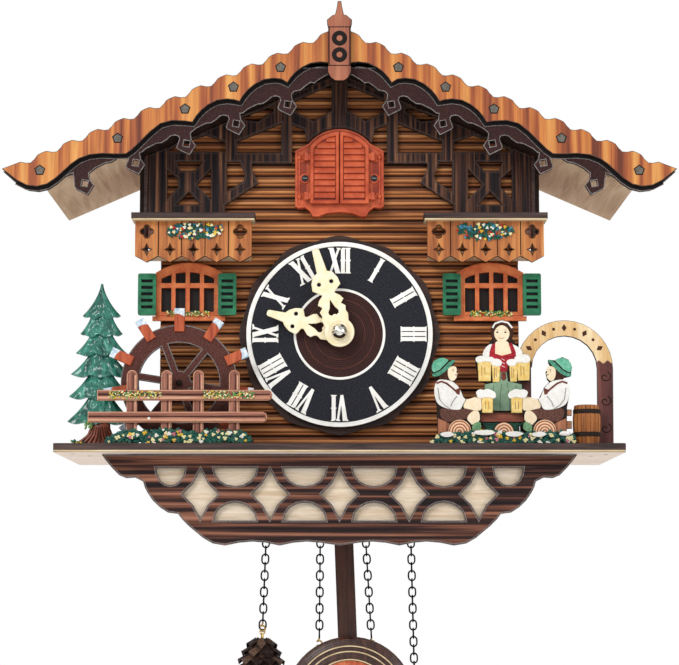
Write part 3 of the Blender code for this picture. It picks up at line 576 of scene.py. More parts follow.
FRET = speckled("fret_stain", "1F1112", "4A2A26", 900, (0.45, 0.7), (0.36, 0.7))
CUT = speckled("cut_edge", "5E5654", "A09894", 1500, (0.6, 0.8))
CUT_DARK = speckled("cut_edge_dark", "42332E", "6E5A50", 1500, (0.6, 0.8))
CHAR = speckled("charred_cut", "120C0A", "2E1C14", 900, (0.7, 0.9))
# Near-black band; along the fretwork under the roof strip it serves as painted shadow.
BANDED = speckled("dark_band", "0E0A0B", "241A1A", 1200, (0.4, 0.6))
ZEBRA = zebra("striped_veneer_upright", "Z")
ZEBRA_X = zebra("striped_veneer_level", "X", ("1C1214", "3A2421", "704636", "A2705A"), 420)
PLY = wood("birch_ply", "D2B898", "E8D4BA", "F4E6D2", "X", 300, side=("B99C72", "E6D2AA"))
PLY_DEEP = wood("birch_ply_deep", "BC9874", "D8B692", "E8CEAE", "Y", 260)
BACK = wood("back_ply", "A5815A", "C9A67A", "DDBF94", "Z", 200, side=("B99C72", "E6D2AA"))
EDGE = wood("platform_edge", "241A19", "43322F", "5C4741", "X", 500)
CREAM = wood("pale_ply_line", "B89A74", "DCC49A", "EBD8B4", "X", 600)
PICKET_WOOD = wood("picket_wood", "7E4222", "B9703C", "DE9C58", "Z", 240)
RUST = wood("rust_wood", "5C2C22", "8E4A32", "AE6A44", "Z", 260)
WALNUT = wood("pendulum_wood", "24130F", "3E231B", "5A3626", "Z", 330)
ORANGE_PLASTIC = moulded("orange_frame", "C65E34", "E0844E", (0.38, 0.5))
TERRACOTTA = moulded("terracotta", "A63E20", "CC5E38", (0.3, 0.42), 120, 0.15)
# A darker copy of the terracotta: painted shade in the door's recesses and gaps.
TERRACOTTA_SHADE = moulded("terracotta_painted_shade", "7A2A18", "96381F", (0.35, 0.5), 120)
GREEN_PLASTIC = moulded("shutter_green", "17583C", "2A7A54", (0.35, 0.5))
BLACK_PLASTIC = moulded("black_plastic", "101011", "1D1D1F", (0.4, 0.55))
GREY_PLASTIC = moulded("grey_plastic", "5E6064", "7C7E82", (0.4, 0.55))
IVORY = moulded("ivory", "F0E0B4", "FBF0D4", (0.3, 0.42), 180, 0.1)
COPPER = wood("copper_line", "6E3A2C", "8E4E3C", "A8644E", "X", 500)
CHROME = metal("polished_nut", "B8B4A8", "F2EFE6", (0.05, 0.1))
BRASS = metal("brass", "A9864A", "E2C27E", (0.12, 0.22))
STEEL = metal("steel", "8A8C90", "BFC1C4", (0.25, 0.4))
IRON = metal("blackened_iron", "0B0B0D", "1E1E22", (0.35, 0.5))
GLASS = wood("window_dark", "0A0707", "1A1110", "2E1E1A", "Z", 300)
NUMERAL = moulded("numeral_white", "EFECE4", "FCFBF7", (0.3, 0.42), 180)
PENTAGON = speckled("pentagon_grey", "56524C", "827C72", 1400)
SKIN = speckled("skin_paint", "F4DDB8", "FBEBD0", 300, bump=0.08)
WHITE_PAINT = speckled("white_paint", "ECE9E2", "FAF8F3", 500, bump=0.1)
HAT = speckled("hat_green", "54A486", "86C8A8", 400, bump=0.1)
HAIR = speckled("hair_brown", "2B1712", "5A3424", 1200, bump=0.2)
STRAP = speckled("strap_brown", "5A2C24", "8A4A3A", 900, bump=0.15)
RED_PAINT = speckled("bodice_red", "8E1A24", "C6323E", 900, bump=0.15)
SKIRT = speckled("skirt_green", "86A488", "9CB89A", 300, bump=0.1)
SHORTS = speckled("shorts_brown", "4A2E28", "80584A", 1300, bump=0.2)
SOCK = speckled("sock_green", "5C8A62", "8FB58A", 900, bump=0.15)
BEER = speckled("beer_gold", "E6BE66", "F6E0A0", 500, bump=0.1)
LINE = speckled("ink_line", "1C1412", "30221E", 900, bump=0.1)
LEAF = plant("leaf_teal", "0C3A34", "2A7260")
LEAF_LIGHT = plant("leaf_green", "4E8A4C", "A8C070")
LEAF_BED = plant("leaf_bed", "173F38", "4E8272")
PETAL_P = petal("petal_pink", "B06070", "E0A0A4")
LEAF_BLUE = plant("leaf_blue", "1E5A7A", "5EA4B8")
PETAL_W = petal("petal_white", "E6E2D6", "FBFAF4")
PETAL_C = petal("petal_cream", "E8DCA0", "F8F2C8")
PETAL_Y = petal("petal_yellow", "D9A92A", "F4DC62")
PETAL_R = petal("petal_red", "9E1E22", "D8423A")
SOIL = speckled("bed_dark", "0C1E1A", "1E3A30", 600)
BENCH = wood("bench_plank", "7A4A34", "A8714E", "C4906A", "X", 300)
RED_WOOD = wood("red_brown_wood", "4A221C", "7C3E2E", "9C5A42", "X", 300)
DARK_GREEN = speckled("under_table_green", "16362C", "2C5A48", 700)
BARREL = wood("barrel_staves", "6E3A1E", "A8652F", "CC8C4E", "Z", 300)
HOOP = speckled("barrel_hoop", "1B1310", "3A2A22", 1200)

# ---------------------------------------------------------------- case
wall_low, wall_high = low_high("front_wall")
logs = Paint("log_siding", shine=0.2)
SLOPE = 0.437                                  # of the roof
PITCH, GROOVE = 5.96, -35.3                    # of the moulded boards, and the height of one groove
across = logs.noise(420, (22, 1, 1), 5, 0.4)
patch = logs.noise(70, (4, 1, 1), 3)
# The colours along each rib are painted light and shade: near-black in the grooves, darker where a rib lies
# in the shadow of the lip above it, and bright bands where the light falls on the rib.
turns = logs.math("MULTIPLY_ADD", logs.axis("Z"), -1 / (PITCH * MM), GROOVE / PITCH + 40)
phase = logs.math("FRACT", turns)
shade = logs.ramp(phase, [(0.0, "140B08"), (0.06, "7E523A"), (0.3, "96643F"), (0.35, "DCA670"),
                          (0.46, "CC915C"), (0.64, "8A5A3C"), (0.7, "BC8454"), (0.86, "AE7448"),
                          (0.94, "3A2216"), (0.99, "140B08")])
streak = logs.ramp(across, [(0.3, "6A483A"), (0.44, "C09A80"), (0.56, "F4DCC4"), (0.7, "FFFFFF")])
tone = logs.mix(0.8, shade, streak, "MULTIPLY")
tone = logs.shade(tone, patch, 0.3, 0.5, 0.35, 0.62)
LOGS = logs.done(tone, across, 0.3, 0.0002, (0.5, 0.7, patch))

RIBS = (((0.0, -76.4), (0.35, -76.5), (0.5, -77.2), (1.7, -77.35), (1.9, -77.3)),
        ((1.9, -77.3), (2.0, -77.9), (2.5, -78.0), (3.2, -77.9), (3.8, -77.45), (3.95, -77.2)),
        ((3.95, -77.2), (4.2, -77.7), (4.9, -77.75), (5.4, -77.2), (5.65, -76.5), (PITCH, -76.4)))
# openings as x from, x to, z from, z to: door, two windows, arbor
holes = [(-15.5, 15.5, -58.0, -22.0)] + [(s - 14.3, s + 14.3, -113.7, -92.0) for s in (-78.7, 78.7)]
holes += [(-5.0, 5.0, -130.6, -120.6)]
siding = Build()
ridge_z = wall_high.z
narrow, wide, step_z = 93.5, wall_high.x, -66.7
start = GROOVE + PITCH * 8
while start > wall_low.z:
    for rib in RIBS:
        top, z = start - rib[0][0], start - rib[-1][0]
        reach = narrow if z < step_z - 0.5 else wide
        reach = min(reach, max(0.0, (ridge_z - top) / SLOPE))
        if reach < 0.5 or top <= wall_low.z + 0.3:
            continue
        spans = [(-reach, reach)]
        for x0, x1, z0, z1 in holes:
            if z < z1 - 0.2 and top > z0 + 0.2:
                spans = [part for a, b in spans for part in (((a, min(b, x0)), (max(a, x1), b))
                        if x0 < b and x1 > a else ((a, b),)) if part[1] - part[0] > 0.4]
        section = [(-75.0, z), (-75.0, top)] + [(y, start - s) for s, y in rib if start - s > wall_low.z]
        m = len(section)
        for a, b in spans:
            siding.add([(x, y, h) for x in (a, b) for y, h in section],
                       [tuple(range(m)), tuple(2 * m - 1 - k for k in range(m))]
                       + [(k, (k + 1) % m, m + (k + 1) % m, m + k) for k in range(m)], LOGS)
    start -= PITCH
siding.done("log_wall", "front_wall", replaces=("front_wall",), angle=25)

give(BACK, "back_panel")
deck = Paint("platform_board", shine=0.2)      # stained above, pale ply below
figure = deck.noise(260, LONG["X"], 6, 0.6)
below = deck.math("LESS_THAN", deck.facing("Z"), -0.6)
tone = deck.mix(below, deck.ramp(figure, [(0.3, "2A1D1B"), (0.5, "4A3835"), (0.72, "6A5048")]),
                deck.ramp(figure, [(0.3, "EAD2BC"), (0.5, "F8E6D6"), (0.72, "FFF2E6")]))
give(deck.done(tone, figure, 0.3, 0.0002, (0.5, 0.7, figure)), "platform")
under = Paint("roof_board", shine=0.15)        # pale ply, dark brown where it lies over the case
figure = under.noise(260, LONG["Y"], 6, 0.6)
over_case = under.math("LESS_THAN", under.math("ABSOLUTE", under.axis("X")), 104 * MM)
tone = under.mix(over_case, under.ramp(figure, [(0.3, "BC9874"), (0.5, "D8B692"), (0.72, "E8CEAE")]),
                 under.ramp(figure, [(0.3, "1C1210"), (0.7, "38261F")]))
give(under.done(tone, figure, 0.3, 0.0002, (0.5, 0.7, figure)), "roof_l", "roof_r")
give(RUST, "side_l", "side_r")
give(PLY, "apron_backing")

stained = wood("stained_outside", "2B1A15", "4A2E24", "64402F", "Y", 300)
lining = Build()                               # stained upper faces over the two boards
for side in (1, -1):
    strip_of = [(-0.1, 17.9), (-0.1, 18.4), (-152.6, -48.3), (-152.7, -48.8)]
    lining.board(flipped(strip_of, side), -107.4, 106.0, stained, chamfer=0)
lining.done("roof_stain", "roof_l")

corner = Build()                               # dark strip on the upper storey's front corners
for side in (1, -1):
    for x0, x1, mat in ((-104.5, -102.4, CHAR), (-102.4, -100.6, EDGE)):
        corner.board(flipped([(x0, -84.3), (x1, -84.3), (x1, -31.2), (x0, -32.6)], side), -81.9, 0.5, mat,
                     chamfer=0.1)
corner.done("corner_strips", "side_l")

# ---------------------------------------------------------------- platform edge, apron
low, high = low_high("platform")
rim = Build()
rim.box((low.x + 0.2, low.y - 0.25, low.z + 1.1), (high.x - 0.2, low.y + 0.3, high.z - 0.15), EDGE,
        chamfer=0.12)
rim.box((low.x + 0.6, low.y - 0.12, low.z + 0.2), (high.x - 0.6, low.y + 0.3, low.z + 1.1), CREAM,
        chamfer=0.08)
rim.done("platform_rim", "platform")
nails = Build()
for x, y in ((low.x + 8, -104), (low.x + 15, -88), (high.x - 8, -101), (high.x - 14, -86)):
    nails.lathe([(0.05, low.z - 0.25), (1.1, low.z - 0.2), (1.2, low.z + 0.1)], (x, y, 0), STEEL, "Z", 14)
nails.done("platform_nails", "platform")


def relief(node, mat, edge, side, inner=0.55, lift=0.07, width=0.38):
    """A CAD board again, with a chamfered front and a fine etched line inside every cut edge."""
    loops = outlines(node)
    front = low_high(node)[0].y
    made = Build()
    made.board(loops[0], front, BOARD, mat, loops[1:], edge=edge, side=side, chamfer=0.3)
    for loop in loops:
        made.line(loop, inner, inner + width, front, lift, edge)
    return made


relief("apron", ZEBRA_X, CUT, CHAR).done("apron_face", "apron", replaces=("apron",))

# ---------------------------------------------------------------- roof edge
INLAYS = ((152.8, -44.9), (113.3, -28.3), (79.0, -13.1), (54.3, -1.7), (30.2, 8.6))
for side, letter in ((1, "l"), (-1, "r")):
    loops = outlines(f"shingles_{letter}")
    front = low_high(f"shingles_{letter}")[0].y
    made = Build()
    made.board(loops[0], front, 3.0, STRIP, edge=CUT_DARK, side=CHAR, chamfer=0.35)
    for x, z in INLAYS:
        ring = circle(-x * side, z, 3.0, 5, math.radians(90))
        made.board(ring, front - 0.12, 0.5, BANDED, chamfer=0.08)
        made.board([(-x * side + (a + x * side) * 0.78, z + (b - z) * 0.78) for a, b in ring],
                   front - 0.25, 0.4, PENTAGON, chamfer=0.06)
    made.done(f"roof_strip_{letter}", f"shingles_{letter}", replaces=(f"shingles_{letter}",))

    edge = loops[0]                            # the fretwork's bands follow the strip's lower edge
    tip = max(range(len(edge)), key=lambda i: abs(edge[i][0]))
    ways = [[edge[(tip + way * k) % len(edge)] for k in range(len(edge) // 2 + 20)] for way in (1, -1)]
    low_edge = min(ways, key=lambda walk: walk[4][1])
    low_edge = [p for p in low_edge if abs(p[0]) > 1.5 and p[1] < 12.0]
    below = []
    for i, p in enumerate(low_edge):
        a, b = Vector(low_edge[max(0, i - 1)]), Vector(low_edge[min(len(low_edge) - 1, i + 1)])
        d = (b - a).normalized()
        n = Vector((-d.y, d.x))
        below.append((Vector(p), n if n.y < 0 else -n))
    front = low_high(f"fascia_{letter}")[0].y
    fret = relief(f"fascia_{letter}", FRET, CUT, CHAR, inner=0.0, width=0.42, lift=0.1)
    # A near-black band on the fascia just under the strip: partly the strip's dark cut edge seen from below,
    # partly painted shadow cast by the strip.
    fret.stroke([tuple(p + n * 0.6) for p, n in below if abs(p.x) < 168], 2.2, front, 0.15, BANDED)
    fret.stroke([tuple(p + n * 1.8) for p, n in below if abs(p.x) < 168], 0.4, front, 0.2, CUT)
    fret.done(f"fretwork_{letter}", f"fascia_{letter}", replaces=(f"fascia_{letter}",))

loops = outlines("finial")
front = low_high("finial")[0].y
low, high = low_high("finial")
FINIAL = wood("finial_wood", "7A4536", "A8654C", "C48862", "Z", 260)
post = Build()
post.board(loops[0], front, 3.7, FINIAL, edge=CHAR, side=CHAR, chamfer=0.3)
for z in (22.9, 14.3):
    post.lathe([(1.6, front + 0.1), (1.6, front - 0.35), (3.7, front - 0.35), (3.9, front - 0.1),
                (3.9, front + 0.1)], (0, 0, z), BANDED, sides=36)
    post.lathe([(1.5, front + 0.1), (1.5, front - 0.2), (0.1, front - 0.3)], (0, 0, z), FINIAL, sides=24)
for z in (8.7, 28.8):
    post.stroke([(-5.6, z), (5.6, z)], 0.5, front, 0.12, CHAR)
for side in (-1, 1):
    post.stroke([(side * 5.2, 8.9), (side * 5.2, 28.6)], 0.4, front, 0.1, CHAR)
post.done("finial_post", "finial", replaces=("finial",))

# ---------------------------------------------------------------- gable
relief("gable", ZEBRA, CUT_DARK, CHAR, inner=0.7, width=0.3).done("gable_face", "gable",
        replaces=("gable",))

# ---------------------------------------------------------------- balconies
PICKETS = -100.5                               # front of the pickets
for side, letter in ((1, "l"), (-1, "r")):
    node = f"balcony_{letter}"
    low, high = low_high(node)
    loops = outlines(node, PICKETS)
    body = Build()
    top = max(p[1] for p in loops[0])
    body.board(loops[0], PICKETS, 3.0, PICKET_WOOD, loops[1:], edge=CHAR, side=CHAR, chamfer=0.25)
    for loop in loops[1:]:
        body.line(loop, 0.1, 0.45, PICKETS, 0.06, CHAR)
    for k in range(1, 5):
        x = -105.1 + 12.0 * k
        x = x * side
        body.stroke([(x, -68.4), (x, -86.6)], 0.55, PICKETS, 0.08, CHAR)
    rail_x = sorted((-106.8 * side, -43.3 * side))
    body.box((rail_x[0], -105.5, -68.0), (rail_x[1], -90.0, -65.0), EDGE, edge=EDGE, chamfer=0.5)
    body.box((rail_x[0] + 0.4, -105.0, -68.9), (rail_x[1] - 0.4, -90.5, -68.0), CREAM, chamfer=0.1)
    floor_x = sorted((-99.8 * side, -46.0 * side))
    body.box((floor_x[0], -97.6, -86.5), (floor_x[1], -78.4, -84.0), PLY_DEEP, chamfer=0.1)
    body.done(f"balcony_front_{letter}", node, replaces=(node,))

# ---------------------------------------------------------------- windows and shutters
WINDOW, SHUTTER = -81.3, -84.6                 # their fronts
for side, letter in ((1, "l"), (-1, "r")):
    give(ORANGE_PLASTIC, f"window_{letter}")
    loops = outlines(f"window_{letter}", WINDOW)
    trim = Build()
    trim.line(loops[0], 0.5, 1.0, WINDOW, 0.35, ORANGE_PLASTIC)
    for loop in loops[1:]:
        trim.line(loop, 0.05, 0.5, WINDOW, 0.3, ORANGE_PLASTIC)
    trim.done(f"window_trim_{letter}", f"window_{letter}")
    pane = Build()
    x = sorted((-92.8 * side, -64.7 * side))
    pane.box((x[0], -77.9, -113.6), (x[1], -77.3, -92.1), GLASS, chamfer=0.05)
    pane.done(f"window_pane_{letter}", f"window_{letter}")
    for n, x in (("outer", -100.1), ("inner", -58.4)):
        name = f"shutter_{letter}_{n}"
        give(GREEN_PLASTIC, name)
        x *= side
        slats = Build()
        for k in range(5):
            z = -97.8 - 3.4 * k
            slats.board(rect(x - 3.0, z - 0.8, x + 3.0, z + 0.8), -82.4, 0.6, BLACK_PLASTIC, chamfer=0)
            slats.stroke([(x - 3.2, z + 1.15), (x + 3.2, z + 1.15)], 0.6, SHUTTER, 0.3, GREEN_PLASTIC)
        slats.stroke([(x - 4.1, -95.0), (x + 4.1, -95.0)], 0.5, SHUTTER, 0.25, GREEN_PLASTIC)
        slats.done(f"shutter_slats_{letter}_{n}", name)

# ---------------------------------------------------------------- dial
DIAL_X, DIAL_Z = 0.0, (low_high("dial")[0].z + low_high("dial")[1].z) / 2
DIAL_FRONT = low_high("dial")[0].y
DIAL_R = low_high("dial")[1].x
FIELD = speckled("dial_field", "17181E", "34353E", 1300, (0.5, 0.72), bump=0.12)
give(FIELD, "dial")
give(wood("dial_backing_wood", "1E1412", "38241E", "50342A", "X", 300), "dial_backing")
rose = Paint("turned_centre", rough=0.4, shine=0.2)
r = rose.radius(DIAL_X, DIAL_Z)
fine = rose.noise(1400, (1, 1, 1), 5)
lines = rose.math("SINE", rose.math("MULTIPLY", r, 6200))
tone = rose.ramp(rose.math("MULTIPLY_ADD", lines, 0.12, fine), [(0.35, "1E0C0B"), (0.7, "48241E")])
ROSE = rose.done(tone, lines, 0.12, 0.0001, (0.35, 0.5, fine))
face = Build()
y = DIAL_FRONT
face.lathe([(5.05, y + 0.4), (5.05, y - 0.35), (13.0, y - 0.5), (17.6, y - 0.35), (22.6, y - 0.3),
            (22.6, y + 0.4), (5.05, y + 0.4)], (DIAL_X, 0, DIAL_Z), ROSE, sides=72)
for inner, outer, lift, mat in ((DIAL_R - 2.5, DIAL_R, 0.7, NUMERAL), (22.4, 23.9, 0.6, NUMERAL),
                                (DIAL_R - 1.9, DIAL_R - 1.6, 0.75, CUT_DARK), (17.9, 18.3, 0.55, COPPER),
                                (13.0, 13.4, 0.65, COPPER)):
    face.ring(inner, outer, y, lift, (DIAL_X, DIAL_Z), mat)
face.done("dial_rings", "dial")

NUMERALS = ("XII", "I", "II", "III", "IIII", "V", "VI", "VII", "VIII", "IX", "X", "XI")
R0, R1 = 31.7, 45.2
numerals = Build()
WIDTHS = {"I": 2.6, "V": 6.0, "X": 6.2}
for hour, text in enumerate(NUMERALS):
    start = len(numerals.points)
    total = sum(WIDTHS[c] for c in text)
    squeeze = min(1.0, 15.0 / total)
    x = -total * squeeze / 2
    z0, z1 = DIAL_Z + R0, DIAL_Z + R1
    y = DIAL_FRONT
    for c in text:
        w = WIDTHS[c] * squeeze
        m = x + w / 2
        s = 0.95 * (0.75 + 0.25 * squeeze)
        if c == "I":
            shapes = [rect(m - s * 1.1, z0, m + s * 1.1, z1), rect(m - s * 1.5, DIAL_Z + 38.2,
                    m + s * 1.5, DIAL_Z + 38.9)]
            tips = [m]
        elif c == "V":
            shapes = [[(m - w / 2 + 0.1, z1), (m - 0.7, z0), (m + 0.9, z0), (m - w / 2 + 2.6, z1)],
                      [(m + w / 2 - 1.4, z1), (m - 0.3, z0), (m + 0.8, z0), (m + w / 2 - 0.2, z1)]]
            tips = [m - w / 2 + 1.15, m + w / 2 - 0.6]
        else:
            shapes = [[(m - w / 2 + 0.1, z1), (m + w / 2 - 2.6, z0), (m + w / 2 - 0.1, z0),
                       (m - w / 2 + 2.6, z1)], [(m + w / 2 - 1.4, z1), (m - w / 2 + 0.2, z0),
                                                (m - w / 2 + 1.4, z0), (m + w / 2 - 0.2, z1)]]
            tips = [m - w / 2 + 1.15, m + w / 2 - 0.6]
        for k, shape in enumerate(shapes):
            numerals.board(shape, y - 0.35 - 0.02 * k, 0.5, NUMERAL, chamfer=0.06)
        for t in tips:
            numerals.board([(t - 1.6 * squeeze, z1), (t - 1.0, z1 - 0.95), (t + 1.0, z1 - 0.95),
                            (t + 1.6 * squeeze, z1)], y - 0.4, 0.5, NUMERAL, chamfer=0.05)
        feet = {"I": [m], "V": [], "X": [m - w / 2 + 0.7, m + w / 2 - 1.1]}[c]
        for t in feet:
            numerals.board([(t - 1.6 * squeeze, z0), (t + 1.6 * squeeze, z0), (t + 1.0, z0 + 0.95),
                            (t - 1.0, z0 + 0.95)], y - 0.4, 0.5, NUMERAL, chamfer=0.05)
        x += w
    numerals.turn(start, 30 * hour, (DIAL_X, 0, DIAL_Z))
numerals.done("dial_numerals", "dial")

# ---------------------------------------------------------------- hands
for node, body, hub in (("hour_hand", "hour_train", 7.0), ("minute_hand", "minute_train", 7.7)):
    front = low_high(node)[0].y
    loops = outlines(node, front)
    made = Build()
    made.board(loops[0], front, 1.2, IVORY, loops[1:], chamfer=0.3)
    made.ring(hub - 2.3, hub - 1.3, front, 0.25, (0, DIAL_Z), IVORY, 0.2, sides=48)
    if node == "hour_hand":
        made.lathe([(1.6, front + 1.0), (1.6, -72.0), (2.7, -72.0), (2.7, front + 1.0),
                    (1.6, front + 1.0)], (0, 0, DIAL_Z), BLACK_PLASTIC, sides=32)
    made.done(f"{node}_leaf", node, body, replaces=(node,))
give(BRASS, "arbor")
give(CHROME, "hand_nut")

# ---------------------------------------------------------------- door
front = -83.3                                  # of the frame
loops = outlines("door_frame", front)
give(TERRACOTTA, "door_frame")
frame_trim = Build()
frame_trim.line(loops[0], 0.2, 1.2, front, 0.6, TERRACOTTA)
for side in (-1, 1):
    # darker terracotta in the recessed side channels: painted shade
    frame_trim.board(rect(side * 18.9 - 1.6, -51.4, side * 18.9 + 1.6, -34.6), -83.36, 0.3,
                     TERRACOTTA_SHADE, chamfer=0.05)
    frame_trim.stroke([(side * 21.0, -57.0), (side * 21.0, -30.4)], 0.9, front, 0.6, TERRACOTTA)
for side in (-1, 1):
    frame_trim.lathe([(2.9, -83.2), (2.6, -83.9), (1.9, -83.9), (1.9, -83.2), (2.9, -83.2)],
                     (side * 18.1, 0, -43.6), TERRACOTTA, sides=24)
    frame_trim.lathe([(1.8, -83.3), (1.75, -84.3), (1.2, -84.6), (0.1, -84.65)], (side * 18.1, 0, -43.6),
                     BLACK_PLASTIC, sides=20)
    frame_trim.stroke([(side * 18.1 - 1.2, -43.6), (side * 18.1 + 1.2, -43.6)], 0.35, -84.65, 0.03, STEEL)
    for z in (-32.4, -53.2):
        for off in (18.6, 21.0):
            frame_trim.blob((side * off, -83.9, z), (1.15, 1.1, 1.5), TERRACOTTA, 8, 14)
frame_trim.done("door_frame_trim", "door_frame")
for side, letter, body in ((1, "l", "leaf_l"), (-1, "r", "leaf_r")):
    node = f"door_{letter}"
    y = -86.4
    leaf = [(-15.4, -57.3), (-0.25, -57.3)] + arc(0, -38.0, 19.0, 90.8, 144.1, 12)
    panel = [(-13.4, -55.4), (-2.0, -55.4)] + arc(0, -38.0, 16.8, 96.9, 142.9, 12)
    made = Build()
    made.board(flipped(leaf, side), y, 1.6, TERRACOTTA, [flipped(panel, side)], chamfer=0.3)
    # the darker back layer shows through the panel between the slats as painted shade
    made.board(flipped(leaf, side), y + 1.25, 0.9, TERRACOTTA_SHADE, chamfer=0.1)
    z = -54.2
    while z < -23.0:
        half = math.sqrt(max(0.0, 16.6 ** 2 - (z + 1.6 + 38.0) ** 2)) if z + 1.6 > -38.0 else 99.0
        x0, x1 = -min(13.1, half), -2.3
        if x1 - x0 > 1.2:
            xs = sorted((x0 * side, x1 * side))
            made.add([(x, yy, zz) for x in xs for yy, zz in ((y + 1.3, z + 2.9), (y + 0.1, z + 0.5),
                    (y + 0.15, z), (y + 1.3, z))], [(0, 1, 2, 3), (7, 6, 5, 4), (0, 1, 5, 4),
                                                    (1, 2, 6, 5), (2, 3, 7, 6), (3, 0, 4, 7)], TERRACOTTA)
        z += 3.3
    for z in (-32.4, -53.2):
        xs = sorted((side * -14.5, side * -17.4))
        made.box((xs[0], -86.2, z - 1.6), (xs[1], -84.6, z + 1.6), TERRACOTTA, chamfer=0.2)
        made.lathe([(0.3, -2.2), (1.5, -2.0), (1.5, 2.0), (0.3, 2.2)], (side * -17.4, -85.3, z),
                   TERRACOTTA, "Z", 16)
    if side == 1:                              # the lip that covers the gap between the two leaves from behind, in the darker terracotta: painted shade in the gap
        made.box((-1.6, -84.3, -56.8), (-0.35, -83.6, -20.7), TERRACOTTA_SHADE, chamfer=0.05)
        made.box((-0.6, -84.0, -56.8), (0.5, -83.6, -20.7), TERRACOTTA_SHADE, chamfer=0.05)
    made.done(f"door_leaf_{letter}", node, body, replaces=(node,))

give(speckled("bird_brown", "3A241A", "7A5238", 900), "cuckoo")
give(STEEL, "cuckoo_carriage")
bird = Build()
beak = [(0.1, -76.0), (0.7, -74.6), (1.2, -73.0), (1.4, -71.8)]
bird.lathe(beak, (0, 0, -43.8), moulded("beak_yellow", "D8982C", "EDBE50"), sides=16)
for side in (-1, 1):
    bird.blob((side * 2.5, -71.8, -42.0), (0.55, 0.55, 0.55), BLACK_PLASTIC, 6, 10)
    bird.blob((side * 5.4, -62.0, -43.4), (2.0, 6.6, 3.6), speckled(f"wing_{side}", "241611", "5A3A28",
            900), 8, 14)
bird.done("cuckoo_face", "cuckoo", "bird")

# ---------------------------------------------------------------- works and back
give(BLACK_PLASTIC, "movement", "battery_holder")
give(GREY_PLASTIC, "wheel_motor")
cone_paint = Paint("speaker_cone")
rings = cone_paint.math("SINE", cone_paint.math("MULTIPLY", cone_paint.radius(-52.0, -72.0), 3000))
CONE_PAPER = cone_paint.done(cone_paint.ramp(rings, [(0.0, "1A1A1C"), (1.0, "2E2E32")]), rings, 0.3,
                             0.0002)
give(CONE_PAPER, "speaker")
jacket = Paint("cell_jacket", rough=0.3)
along = jacket.axis("X")
tone = jacket.mix(jacket.window(along, 0.074, 0.0842, 0.0001), "1D1F24", "B5793C")
CELL = jacket.done(jacket.shade(tone, jacket.noise(400), 0.12, 0.2))
give(CELL, "cell_1", "cell_2")
back = Build()
for n, z in ((1, -131.7), (2, -160.3)):
    spring = [(34.9 + 0.9 * t / 12, -18.8 + 4.0 * math.sin(t * math.pi / 4),
               z + 4.0 * math.cos(t * math.pi / 4)) for t in range(0, 13)]
    back.tube(spring, 0.45, STEEL, 6)
back.done("cell_springs", "battery_holder")

# ---------------------------------------------------------------- pendulum
joints = {j["name"]: j for j in frame["joints"]}


def pivot_of(joint):
    return Vector(joints[joint]["pos_m"]) / MM


give(WALNUT, "pendulum_rod")
low, high = low_high("bob")
bob_x, bob_z = (low.x + high.x) / 2, (low.z + high.z) / 2
turned_wood = Paint("bob_wood", coat=0.35)
r = turned_wood.radius(bob_x, bob_z)
rings = turned_wood.math("SINE", turned_wood.math("MULTIPLY", r, 5200))
grain = turned_wood.noise(500, LONG["Z"], 5, 0.5)
tone = turned_wood.ramp(turned_wood.math("MULTIPLY_ADD", rings, 0.08, grain),
                        [(0.3, "221210"), (0.55, "40241C"), (0.8, "5E3828")])
give(turned_wood.done(tone, rings, 0.1, 0.0001, (0.22, 0.36, grain)), "bob")
inlay = Paint("bob_inlay_wood", coat=0.35)
grain = inlay.noise(330, LONG["Z"], 5, 0.6)
fine = inlay.noise(2200, LONG["Z"], 3)
tone = inlay.ramp(grain, [(0.3, "8E3E28"), (0.5, "BC5C3A"), (0.72, "DC8658")])
tone = inlay.shade(tone, fine, 0.3, 0.45)
give(inlay.done(tone, fine, 0.25, 0.0001, (0.25, 0.4, grain)), "bob_inlay")
ringed = Build()
for r, y in ((29.4, -58.25), (26.6, -58.0), (22.4, -57.95)):
    ringed.ring(r - 0.3, r + 0.3, y, 0.2, (bob_x, bob_z), CREAM, 0.0, 0.5)
ringed.done("bob_rings", "bob", "pendulum")

# ---------------------------------------------------------------- chains and weights
cone_dark = speckled("cone_brown", "1E1412", "4A352C", 900, (0.45, 0.7))
cone_tip = speckled("cone_tip", "4A362C", "7E6252", 1100, (0.5, 0.7))
CONE = ((3.5, 1.6), (0, 1.9), (-2.5, 7.5), (-9, 11.5), (-18, 13.6), (-28, 14), (-40, 12.6), (-51, 9.6),
        (-60, 5.4), (-64.2, 1.2))              # height below the top of the cone, and radius there
LINK_L, LINK_W, WIRE = 6.2, 4.5, 0.9           # a link's length, width and wire
HELD = {1: "l", 4: "r"}                        # the strands that carry a cone


def cone_radius(z):
    for (z1, r1), (z0, r0) in zip(CONE, CONE[1:]):
        if z0 <= z <= z1:
            return r0 + (r1 - r0) * (z - z0) / (z1 - z0)
    return 0.5


def scale(cone, root, tip, out, along, w, mat):
    """One woody scale: a tongue with a raised ridge down its middle."""
    rise = Vector((0, 0, 1))
    cone.add([root - along * w, root + along * w, tip + along * w * 1.05 + rise * 1.8, tip - rise * 0.9,
              tip - along * w * 1.05 + rise * 1.8, root + rise * 1.6, tip + out * 0.5 + rise * 1.6],
             [(0, 1, 2, 3, 4), (0, 5, 1), (1, 5, 6, 2), (2, 6, 3), (3, 6, 4), (4, 6, 5, 0)], mat)


